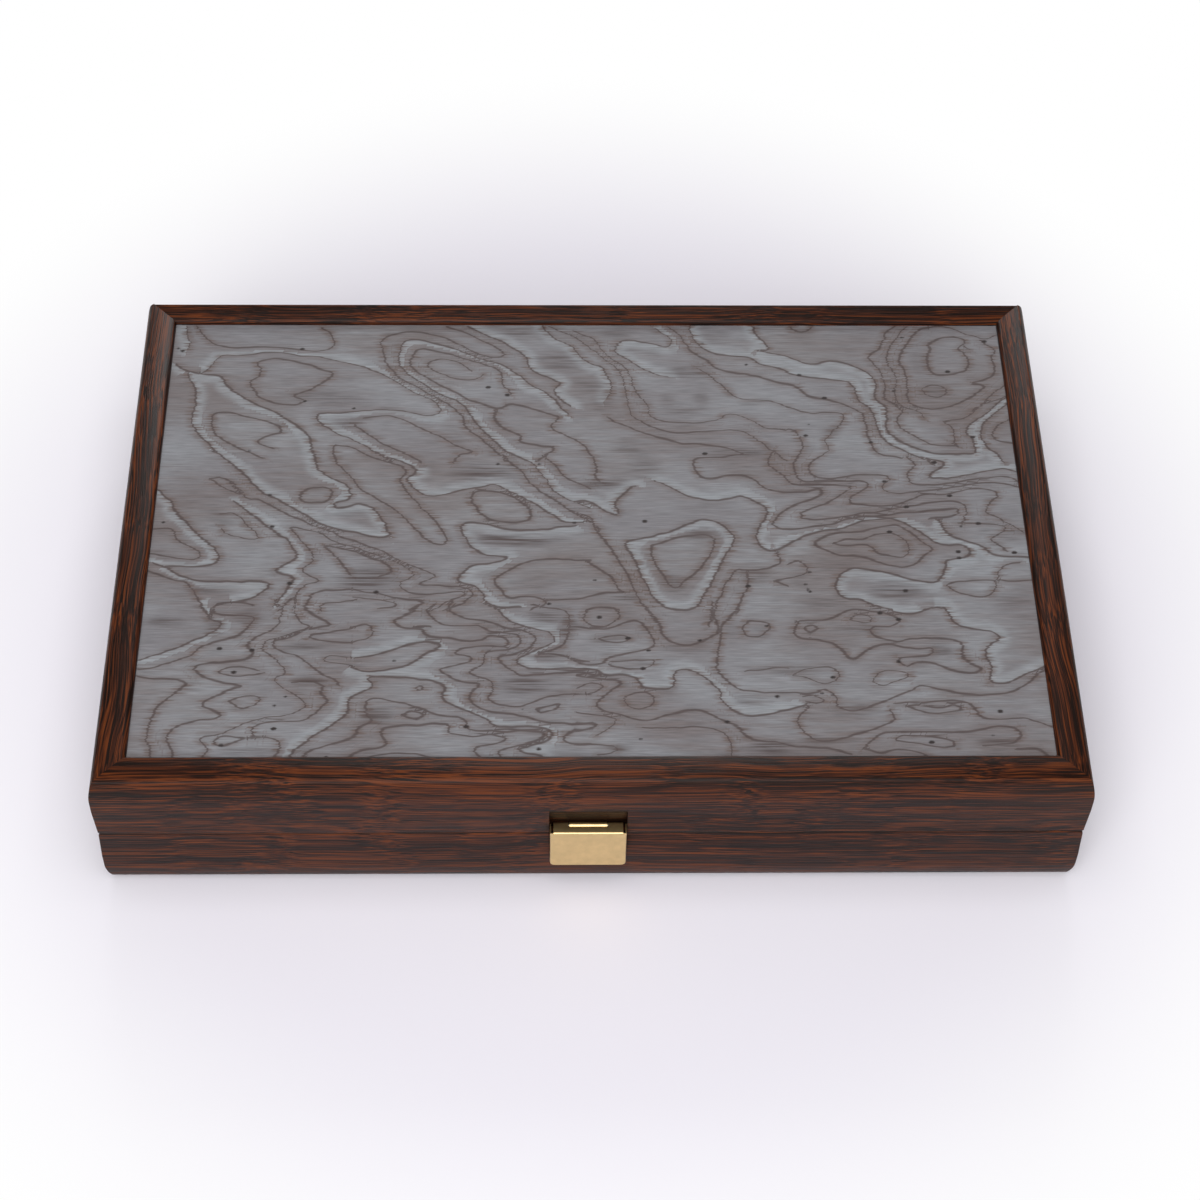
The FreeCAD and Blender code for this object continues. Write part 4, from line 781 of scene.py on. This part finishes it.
def stained_open_grain(name, along, painted_shade=0.0):
    """Wenge brown stain on an open-grained wood, rubbed satin. The eye sees long dark streaks 1 mm
    wide, paler and redder ones between them, and pores as short black dashes that are sunk. The last argument
    darkens the whole stain: painted shade, used for the notch cut for the clasp."""
    shades = colours()
    material, tree, output = new_material(name)
    where = add_node(tree, "ShaderNodeTexCoord").outputs["Object"]
    turn = {"X": (0, 0, 0), "Y": (0, 0, -np.pi / 2), "Z": (0, np.pi / 2, 0)}[along]
    lie = add_node(tree, "ShaderNodeMapping", {"Vector": where, "Rotation": turn}).outputs[0]
    drift = add_node(tree, "ShaderNodeTexNoise", {"Vector": lie, "Scale": 9, "Detail": 2}).outputs["Color"]
    drifted = add_node(tree, "ShaderNodeVectorMath", {0: drift, 1: (0, 0.012, 0.012), 2: lie},
                       operation="MULTIPLY_ADD").outputs[0]

    def streak(scale, detail, rough=0.55):
        stretched = add_node(tree, "ShaderNodeMapping", {"Vector": drifted, "Scale": scale}).outputs[0]
        return add_node(tree, "ShaderNodeTexNoise",
                        {"Vector": stretched, "Scale": 1, "Detail": detail, "Roughness": rough}).outputs["Fac"]

    bands = streak((4, 150, 150), 1)
    lines = streak((10, 1100, 1100), 2, 0.6)
    fibre = streak((30, 3000, 3000), 1)
    pores = streak((12, 1300, 1300), 1)
    mixed = add_node(tree, "ShaderNodeMath", {0: bands, 1: 0.4, 2: lines}, operation="MULTIPLY_ADD").outputs[0]
    mixed = add_node(tree, "ShaderNodeMath", {0: fibre, 1: 0.35, 2: mixed}, operation="MULTIPLY_ADD").outputs[0]
    # A positive shift darkens the stain: painted shade for the notch cut for the clasp.
    shade = add_node(tree, "ShaderNodeMapRange", {"Value": mixed, "From Min": 0.74 + painted_shade, "From Max": 1.02 + painted_shade},
                     clamp=True).outputs[0]
    body = add_node(tree, "ShaderNodeValToRGB", {"Fac": shade},
                    stops=((0, shades.wood_dark), (1, shades.wood_light), (0.5, shades.wood_mid)))
    pore = add_node(tree, "ShaderNodeMapRange",
                    {"Value": pores, "From Min": 0.39, "From Max": 0.45, "To Min": 1.0, "To Max": 0.0}).outputs[0]
    stained = add_node(tree, "ShaderNodeMix", {0: pore, 6: body.outputs[0], 7: solid(shades.wood_dark)},
                       data_type="RGBA").outputs[2]
    sunk = add_node(tree, "ShaderNodeMath", {0: fibre, 1: 0.4, 2: lines}, operation="MULTIPLY_ADD").outputs[0]
    sunk = add_node(tree, "ShaderNodeMath", {0: sunk, 1: pore}, operation="SUBTRACT").outputs[0]
    bump = add_node(tree, "ShaderNodeBump", {"Height": sunk, "Strength": 0.35, "Distance": 0.00015}).outputs[0]
    sheen = add_node(tree, "ShaderNodeMapRange", {"Value": lines, "To Min": 0.36, "To Max": 0.56}).outputs[0]
    skin = add_node(tree, "ShaderNodeBsdfPrincipled",
                    {"Base Color": stained, "Roughness": sheen, "Normal": bump, "Specular IOR Level": 0.2})
    tree.links.new(skin.outputs[0], output.inputs[0])
    return material


def dyed_burl(name):
    """Grey dyed burl veneer, sanded and matt. Growth lines show as fine brown lines, with a brown
    haze where they cross the fibres and a silvery band on their pale side. Fibres run lengthwise."""
    shades = colours()
    material, tree, output = new_material(name)
    where = add_node(tree, "ShaderNodeTexCoord").outputs["Object"]

    def carried(label):
        return add_node(tree, "ShaderNodeAttribute", attribute_name=label).outputs["Fac"]

    def fibres(scale, detail=2):
        stretched = add_node(tree, "ShaderNodeMapping", {"Vector": where, "Scale": scale}).outputs[0]
        return add_node(tree, "ShaderNodeTexNoise", {"Vector": stretched, "Scale": 1, "Detail": detail},
                        ).outputs["Fac"]

    def reckon(operation, a, b=0.0, c=0.0, clamp=False):
        return add_node(tree, "ShaderNodeMath", {0: a, 1: b, 2: c}, operation=operation,
                        use_clamp=clamp).outputs[0]

    def ramp(value, start, end, low=0.0, high=1.0, kind="SMOOTHSTEP"):
        return add_node(tree, "ShaderNodeMapRange",
                        {"Value": value, "From Min": start, "From Max": end, "To Min": low, "To Max": high},
                        interpolation_type=kind).outputs[0]

    def mix(share, first, second):
        return add_node(tree, "ShaderNodeMix", {0: share, 6: first, 7: second}, data_type="RGBA",
                        clamp_factor=True).outputs[2]

    near, lean, ink = carried("near"), carried("lean"), carried("ink")
    crossing = ramp(reckon("ABSOLUTE", lean), 0.3, 0.9)
    fray = reckon("MULTIPLY", reckon("SUBTRACT", fibres((60, 1000, 0), 3), 0.5), lean)
    off = reckon("MULTIPLY_ADD", fray, 3.5, carried("off"))
    apart = reckon("MAXIMUM", reckon("ABSOLUTE", off), reckon("SUBTRACT", near, 0.6))
    frayed = reckon("ABSOLUTE", reckon("MULTIPLY_ADD", fray, 12.0, off))
    uneven = fibres((30, 45, 0))
    streaks = ramp(fibres((24, 700, 0), 3), 0.4, 0.6)
    fine = fibres((90, 1250, 0), 3)
    width = reckon("MULTIPLY", ink, ramp(uneven, 0.3, 0.7, 0.5, 1.0))
    line = ramp(reckon("DIVIDE", apart, width), 0.2, 1.2, 1.0, 0.0)
    haze = reckon("MULTIPLY", ramp(frayed, 0.2, 4.5, 1.0, 0.0), ramp(near, 2.5, 6.5, 1.0, 0.0))
    haze = reckon("MULTIPLY", haze, reckon("MULTIPLY_ADD", streaks, 0.7, 0.3))
    haze = reckon("MULTIPLY", haze, reckon("MULTIPLY_ADD", crossing, 0.5, 0.4))
    side = reckon("MULTIPLY", carried("pale"), ramp(off, -0.2, 0.8))
    band = reckon("MULTIPLY", side, ramp(apart, 0.5, 8.0, 1.0, 0.0))
    cloud = fibres((14, 26, 0), 4)
    grey = mix(ramp(cloud, 0.35, 0.75, 0.0, 0.5), solid(shades.burl_grey), solid(shades.burl_light))
    tanned = reckon("MULTIPLY_ADD", fibres((30, 400, 0), 3), 0.5, fibres((11, 18, 0), 2))
    grey = mix(ramp(tanned, 0.62, 0.98, 0.0, 0.5), grey, solid(shades.burl_brown))
    silver = mix(reckon("MULTIPLY", band, 0.85), grey, solid(shades.burl_light))
    hatch = reckon("MULTIPLY", carried("hatch"), reckon("MULTIPLY_ADD", streaks, 0.75, 0.25))
    brown = mix(haze, silver, solid(shades.burl_brown))
    dark = reckon("MAXIMUM", reckon("MULTIPLY", line, 0.8), reckon("MULTIPLY", hatch, 0.75))
    lined = mix(dark, brown, solid(shades.burl_line))
    pinned = mix(ramp(carried("knot"), -0.1, 0.6), lined, solid(shades.burl_knot))
    value = ramp(fine, 0.25, 0.75, 0.76, 1.2, "LINEAR")
    final = add_node(tree, "ShaderNodeHueSaturation", {"Color": pinned, "Value": value}).outputs[0]
    bump = add_node(tree, "ShaderNodeBump", {"Height": reckon("SUBTRACT", fine, line), "Strength": 0.25,
                                             "Distance": 0.0001}).outputs[0]
    skin = add_node(tree, "ShaderNodeBsdfPrincipled",
                    {"Base Color": final, "Roughness": 0.5, "Normal": bump, "Specular IOR Level": 0.35})
    tree.links.new(skin.outputs[0], output.inputs[0])
    return material


def brushed_brass(name, rough=0.3, grain=(40, 900, 900)):
    """Sheet brass, brushed lengthwise and lacquered: a soft broken gleam along the brush lines."""
    shades = colours()
    material, tree, output = new_material(name)
    where = add_node(tree, "ShaderNodeTexCoord").outputs["Object"]
    stretched = add_node(tree, "ShaderNodeMapping", {"Vector": where, "Scale": grain}).outputs[0]
    scratch = add_node(tree, "ShaderNodeTexNoise", {"Vector": stretched, "Scale": 3, "Detail": 3}).outputs["Fac"]
    spots = add_node(tree, "ShaderNodeTexNoise", {"Vector": where, "Scale": 260, "Detail": 3}).outputs["Fac"]
    tone = add_node(tree, "ShaderNodeMapRange", {"Value": spots, "From Min": 0.3, "From Max": 0.7,
                                                 "To Min": 0.92, "To Max": 1.04}).outputs[0]
    metal = add_node(tree, "ShaderNodeHueSaturation", {"Color": solid(shades.brass), "Value": tone}).outputs[0]
    dull = add_node(tree, "ShaderNodeMapRange", {"Value": scratch, "To Min": rough - 0.06,
                                                 "To Max": rough + 0.1}).outputs[0]
    bump = add_node(tree, "ShaderNodeBump", {"Height": scratch, "Strength": 0.12, "Distance": 0.00005}).outputs[0]
    skin = add_node(tree, "ShaderNodeBsdfPrincipled",
                    {"Base Color": metal, "Metallic": 1.0, "Roughness": dull, "Normal": bump})
    tree.links.new(skin.outputs[0], output.inputs[0])
    return material


def drawn_steel(name):
    """Bright drawn steel wire: pale, with faint rings round it."""
    material, tree, output = new_material(name)
    where = add_node(tree, "ShaderNodeTexCoord").outputs["Object"]
    marks = add_node(tree, "ShaderNodeTexNoise", {"Vector": where, "Scale": 1500, "Detail": 2}).outputs["Fac"]
    dull = add_node(tree, "ShaderNodeMapRange", {"Value": marks, "To Min": 0.22, "To Max": 0.4}).outputs[0]
    skin = add_node(tree, "ShaderNodeBsdfPrincipled",
                    {"Base Color": solid(colours().steel), "Metallic": 1.0, "Roughness": dull})
    tree.links.new(skin.outputs[0], output.inputs[0])
    return material


def straight_veneer(name, shade, along="Y", contrast=0.16):
    """Straight-grained veneer, oiled and matt: fine lengthwise lines 0.5 mm apart in slow bands."""
    material, tree, output = new_material(name)
    where = add_node(tree, "ShaderNodeTexCoord").outputs["Object"]
    fine_scale, slow_scale = {"X": ((20, 1700, 0), (3, 90, 0)), "Y": ((1700, 20, 0), (90, 3, 0))}[along]
    fine = add_node(tree, "ShaderNodeTexNoise",
                    {"Vector": add_node(tree, "ShaderNodeMapping", {"Vector": where, "Scale": fine_scale}).outputs[0],
                     "Scale": 1, "Detail": 3}).outputs["Fac"]
    slow = add_node(tree, "ShaderNodeTexNoise",
                    {"Vector": add_node(tree, "ShaderNodeMapping", {"Vector": where, "Scale": slow_scale}).outputs[0],
                     "Scale": 1, "Detail": 2}).outputs["Fac"]
    both = add_node(tree, "ShaderNodeMath", {0: slow, 1: 0.8, 2: fine}, operation="MULTIPLY_ADD").outputs[0]
    value = add_node(tree, "ShaderNodeMapRange", {"Value": both, "From Min": 0.6, "From Max": 1.2,
                                                  "To Min": 1 - contrast, "To Max": 1 + contrast}).outputs[0]
    grain = add_node(tree, "ShaderNodeHueSaturation", {"Color": solid(shade), "Value": value}).outputs[0]
    bump = add_node(tree, "ShaderNodeBump", {"Height": fine, "Strength": 0.2, "Distance": 0.0001}).outputs[0]
    skin = add_node(tree, "ShaderNodeBsdfPrincipled",
                    {"Base Color": grain, "Roughness": 0.45, "Normal": bump, "IOR": 1.45})
    tree.links.new(skin.outputs[0], output.inputs[0])
    return material


def cast_resin(name, shade):
    """Cast resin, turned and polished: glossy, with faint clouds in its colour. Points that carry a
    mark, as a die's pips do, are painted dark."""
    material, tree, output = new_material(name)
    where = add_node(tree, "ShaderNodeTexCoord").outputs["Object"]
    clouds = add_node(tree, "ShaderNodeTexNoise", {"Vector": where, "Scale": 90, "Detail": 4,
                                                   "Distortion": 1.5}).outputs["Fac"]
    value = add_node(tree, "ShaderNodeMapRange", {"Value": clouds, "From Min": 0.3, "From Max": 0.7,
                                                  "To Min": 0.86, "To Max": 1.12}).outputs[0]
    tone = add_node(tree, "ShaderNodeHueSaturation", {"Color": solid(shade), "Value": value}).outputs[0]
    mark = add_node(tree, "ShaderNodeAttribute", attribute_name="mark").outputs["Fac"]
    tone = add_node(tree, "ShaderNodeMix", {0: mark, 6: tone, 7: solid(colours().checker_dark)},
                    data_type="RGBA").outputs[2]
    skin = add_node(tree, "ShaderNodeBsdfPrincipled", {"Base Color": tone, "Roughness": 0.18, "IOR": 1.5})
    tree.links.new(skin.outputs[0], output.inputs[0])
    return material


def finish_nodes(material, *names):
    """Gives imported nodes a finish."""
    for name in names:
        slots = frame["nodes"][name].data.materials
        slots.clear()
        slots.append(material)


# Stage

FOCAL_PIXELS = 2636.6
PHOTO_PIXELS = 1200
SENSOR = 36.0


def build_stage():
    """Pale paper floor and soft lamps, and the camera where the photograph was taken."""
    scene = bpy.context.scene
    scene.view_settings.view_transform = "Standard"
    camera = bpy.data.cameras.new("camera")
    camera.sensor_width = SENSOR
    camera.lens = SENSOR * FOCAL_PIXELS / PHOTO_PIXELS
    holder = bpy.data.objects.new("camera", camera)
    place = Matrix.Translation((-0.02167, -0.84493, 1.12754))
    turned = (Matrix.Rotation(-0.0326108, 4, "Z") @ Matrix.Rotation(0.6539987, 4, "X")
              @ Matrix.Rotation(0.0249854, 4, "Z"))
    holder.matrix_world = place @ turned
    scene.collection.objects.link(holder)
    scene.camera = holder

    world = bpy.data.worlds.new("studio")
    world.use_nodes = True
    scene.world = world
    tree = world.node_tree
    tree.nodes.clear()
    seen = add_node(tree, "ShaderNodeLightPath")
    white = add_node(tree, "ShaderNodeBackground", {"Color": (1, 1, 1, 1), "Strength": 1.0})
    level = add_node(tree, "ShaderNodeMapRange", {"Value": seen.outputs["Is Glossy Ray"], "To Min": 0.22,
                                                  "To Max": 0.08}).outputs[0]
    room = add_node(tree, "ShaderNodeBackground", {"Color": solid(colour("#f1eff7")), "Strength": level})
    mixed = add_node(tree, "ShaderNodeMixShader", {0: seen.outputs["Is Camera Ray"], 1: room.outputs[0],
                                                   2: white.outputs[0]})
    add_node(tree, "ShaderNodeOutputWorld", {0: mixed.outputs[0]})

    material, tree, output = new_material("studio_paper")
    where = add_node(tree, "ShaderNodeTexCoord").outputs["Object"]
    fade = add_node(tree, "ShaderNodeVectorMath",
                    {0: add_node(tree, "ShaderNodeMapping",
                                 {"Vector": where, "Scale": (1 / 0.33, 1 / 0.33, 0)}).outputs[0]},
                    operation="LENGTH").outputs["Value"]
    weight = add_node(tree, "ShaderNodeMapRange", {"Value": fade, "From Min": 0.75, "From Max": 1.35},
                      interpolation_type="SMOOTHSTEP").outputs[0]
    seen = add_node(tree, "ShaderNodeLightPath")
    direct = add_node(tree, "ShaderNodeMath", {0: seen.outputs["Is Camera Ray"],
                                               1: seen.outputs["Is Glossy Ray"]}, operation="MAXIMUM").outputs[0]
    share = add_node(tree, "ShaderNodeMath", {0: weight, 1: direct}, operation="MULTIPLY").outputs[0]
    paper = add_node(tree, "ShaderNodeBsdfDiffuse", {"Color": solid(colours().floor)})
    blank = add_node(tree, "ShaderNodeEmission", {"Color": (1, 1, 1, 1), "Strength": 1.0})
    mixed = add_node(tree, "ShaderNodeMixShader", {0: share, 1: paper.outputs[0], 2: blank.outputs[0]})
    tree.links.new(mixed.outputs[0], output.inputs[0])
    half = 4.0
    corners = np.array([(-half, -half, 0), (half, -half, 0), (half, half, 0), (-half, half, 0)])
    mesh = mesh_from("floor", corners, [np.array([[0, 1, 2, 3]])])
    mesh.materials.append(material)
    floor = bpy.data.objects.new("floor", mesh)
    scene.collection.objects.link(floor)

    lamps = (("overhead", (0.0, -0.6, 2.2), (0, 0, 0), 2.0, 30.0),
             ("behind", (0.0, 2.6, 1.0), (-1.2, 0, 0), 1.6, 31.0),
             ("front", (-0.4, -2.0, 1.6), (0.9, 0, -0.2), 2.0, 42.0))
    for name, spot, turned, wide, power in lamps:
        lamp = bpy.data.lights.new(name, "AREA")
        lamp.shape = "SQUARE"
        lamp.size = wide
        lamp.energy = power
        holder = bpy.data.objects.new(name, lamp)
        holder.location = spot
        holder.rotation_euler = turned
        scene.collection.objects.link(holder)


# Pieces

class CASE_OT_stage(bpy.types.Operator):
    """Floor, lamps and camera"""

    bl_idname = "case.stage"
    bl_label = "Stage"

    def execute(self, context):
        build_stage()
        return {"FINISHED"}


def shade_notch(mesh):
    """Gives the faces of the notch cut for the clasp the mesh's second finish, a darker copy of the stain that paints
    shade into the notch.
    """
    for face in mesh.polygons:
        x, y, z = face.center / MM
        if abs(x + 2.1) < 19.3 and 42.6 < z < 62.3 and y < -146 and (y > -156 or abs(face.normal.x) > 0.5):
            face.material_index = 1


class CASE_OT_rails(bpy.types.Operator):
    """Stained rails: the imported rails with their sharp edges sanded"""

    bl_idname = "case.rails"
    bl_label = "Rails"

    def execute(self, context):
        lengthwise = stained_open_grain("wenge_stain_lengthwise", "X")
        crosswise = stained_open_grain("wenge_stain_crosswise", "Y")
        notch_shade_finish = stained_open_grain("wenge_stain_notch_painted_shade", "X", 0.16)
        for half in ("base", "lid"):
            for side in ("front", "back", "left", "right"):
                node = f"{half}_{side}_rail"
                mesh = outward(frame["nodes"][node].data.copy())
                mesh.materials.clear()
                finish = lengthwise if side in ("front", "back") else crosswise
                piece = add_piece(f"{node}_dressed", mesh, node, finish)
                # The notch cut for the clasp gets the darker stain: painted shade.
                if node == "lid_front_rail":
                    mesh.materials.append(notch_shade_finish)
                    shade_notch(mesh)
                soften(piece, sizes().edge_wear)
        return {"FINISHED"}


class CASE_OT_veneers(bpy.types.Operator):
    """Burl veneers of the lid and of the underside"""

    bl_idname = "case.veneers"
    bl_label = "Outer veneers"

    def execute(self, context):
        material = dyed_burl("dyed_burl_veneer")
        lid = veneer_mesh("lid_burl", "lid_veneer", True)
        add_piece("lid_burl", lid, "lid_veneer", material)
        base = veneer_mesh("base_burl", "base_veneer", False)
        add_piece("base_burl", base, "base_veneer", material)
        return {"FINISHED"}


class CASE_OT_insides(bpy.types.Operator):
    """Finishes of the trays, the racks and the playing surface"""

    bl_idname = "case.insides"
    bl_label = "Insides"

    def execute(self, context):
        shades = colours()
        wood = bpy.data.materials["wenge_stain_lengthwise"]
        across = bpy.data.materials["wenge_stain_crosswise"]
        finish_nodes(straight_veneer("birch_plywood", shades.plywood, "X"), "base_panel", "lid_panel")
        finish_nodes(straight_veneer("field_veneer", shades.field, "X", 0.1), "base_field", "lid_field")
        finish_nodes(straight_veneer("light_inlay", shades.point_light), "base_points_light", "lid_points_light")
        finish_nodes(straight_veneer("dark_inlay", shades.point_dark), "base_points_dark", "lid_points_dark")
        finish_nodes(wood, "base_rack_partition", "lid_rack_partition")
        finish_nodes(across, "base_rack_divider", "lid_rack_divider")
        return {"FINISHED"}


class CASE_OT_clasp(bpy.types.Operator):
    """Clasp: folded brass flap, the two plates, their screws and the pin"""

    bl_idname = "case.clasp"
    bl_label = "Clasp"

    def execute(self, context):
        brass = brushed_brass("brushed_brass")
        steel = drawn_steel("drawn_steel")
        flap = add_piece("clasp_flap_sheet", flap_mesh(), "clasp_flap", brass)
        thicken(flap, sizes().sheet)
        mount = add_piece("clasp_mount_sheet", mount_mesh(), "clasp_mount_plate", brass)
        catch = add_piece("clasp_catch_solid", catch_mesh(), "clasp_catch_plate", brass)
        for piece in (flap, mount, catch):
            soften(piece, sizes().burr)
        add_piece("clasp_pin_wire", pin_mesh("clasp_pin_wire", "clasp_pin"), "clasp_pin", steel)
        for node, down in (("clasp_mount_screws", False), ("clasp_catch_screws", True)):
            mesh = screws_mesh(f"{node}_slotted", node, PLATE_HEAD, 0.5, 0.9, (0,), down)
            add_piece(f"{node}_slotted", mesh, node, brass, 30)
        return {"FINISHED"}


class CASE_OT_hinges(bpy.types.Operator):
    """Butt hinges: leaves, pins and screws"""

    bl_idname = "case.hinges"
    bl_label = "Hinges"

    def execute(self, context):
        brass = bpy.data.materials["brushed_brass"]
        steel = bpy.data.materials["drawn_steel"]
        for side in ("left", "right"):
            for half in ("base", "lid"):
                node = f"hinge_{side}_{half}_leaf"
                mesh = hinge_leaf_mesh(f"{node}_pressed", half, side)
                soften(add_piece(f"{node}_pressed", mesh, node, brass, 30), sizes().burr)
            node = f"hinge_{side}_pin"
            add_piece(f"{node}_wire", pin_mesh(f"{node}_wire", node), node, steel)
        for half, down in (("base", True), ("lid", False)):
            node = f"hinge_{half}_screws"
            mesh = screws_mesh(f"{node}_slotted", node, LEAF_HEAD, 0.7, 1.1, LEAF_STEPS, down)
            add_piece(f"{node}_slotted", mesh, node, brass, 30)
        return {"FINISHED"}


class CASE_OT_checkers(bpy.types.Operator):
    """Checkers and dice"""

    bl_idname = "case.checkers"
    bl_label = "Checkers and dice"

    def execute(self, context):
        shades = colours()
        for shade, tone in (("light", shades.checker_light), ("dark", shades.checker_dark)):
            node = f"checkers_{shade}"
            resin = cast_resin(f"{shade}_resin", tone)
            mesh = checkers_mesh(f"{node}_turned", node)
            add_piece(f"{node}_turned", mesh, node, resin, 40)
        ivory = cast_resin("dice_resin", shades.checker_light)
        add_piece("dice_dimpled", dice_mesh("dice_dimpled", "dice"), "dice", ivory, 60)
        return {"FINISHED"}


STEPS = (CASE_OT_stage, CASE_OT_rails, CASE_OT_veneers, CASE_OT_insides, CASE_OT_clasp,
         CASE_OT_hinges, CASE_OT_checkers)


class CASE_PT_panel(bpy.types.Panel):
    """Lists the steps that build the case"""

    bl_idname = "CASE_PT_panel"
    bl_label = "Backgammon case"
    bl_space_type = "VIEW_3D"
    bl_region_type = "UI"
    bl_category = "Case"

    def draw(self, context):
        column = self.layout.column(align=True)
        for step in STEPS:
            column.operator(step.bl_idname)
        for group in (context.scene.case_sizes, context.scene.case_colours):
            box = self.layout.box()
            for key in group.bl_rna.properties.keys():
                if key not in ("rna_type", "name"):
                    box.prop(group, key)


CLASSES = (CaseSizes, CaseColours, *STEPS, CASE_PT_panel)


def register():
    for item in CLASSES:
        bpy.utils.register_class(item)
    bpy.types.Scene.case_sizes = PointerProperty(type=CaseSizes)
    bpy.types.Scene.case_colours = PointerProperty(type=CaseColours)


def unregister():
    del bpy.types.Scene.case_colours
    del bpy.types.Scene.case_sizes
    for item in reversed(CLASSES):
        bpy.utils.unregister_class(item)


def main():
    register()
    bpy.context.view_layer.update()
    for step in STEPS:
        group, label = step.bl_idname.split(".")
        getattr(getattr(bpy.ops, group), label)()


if __name__ == "__main__":
    main()
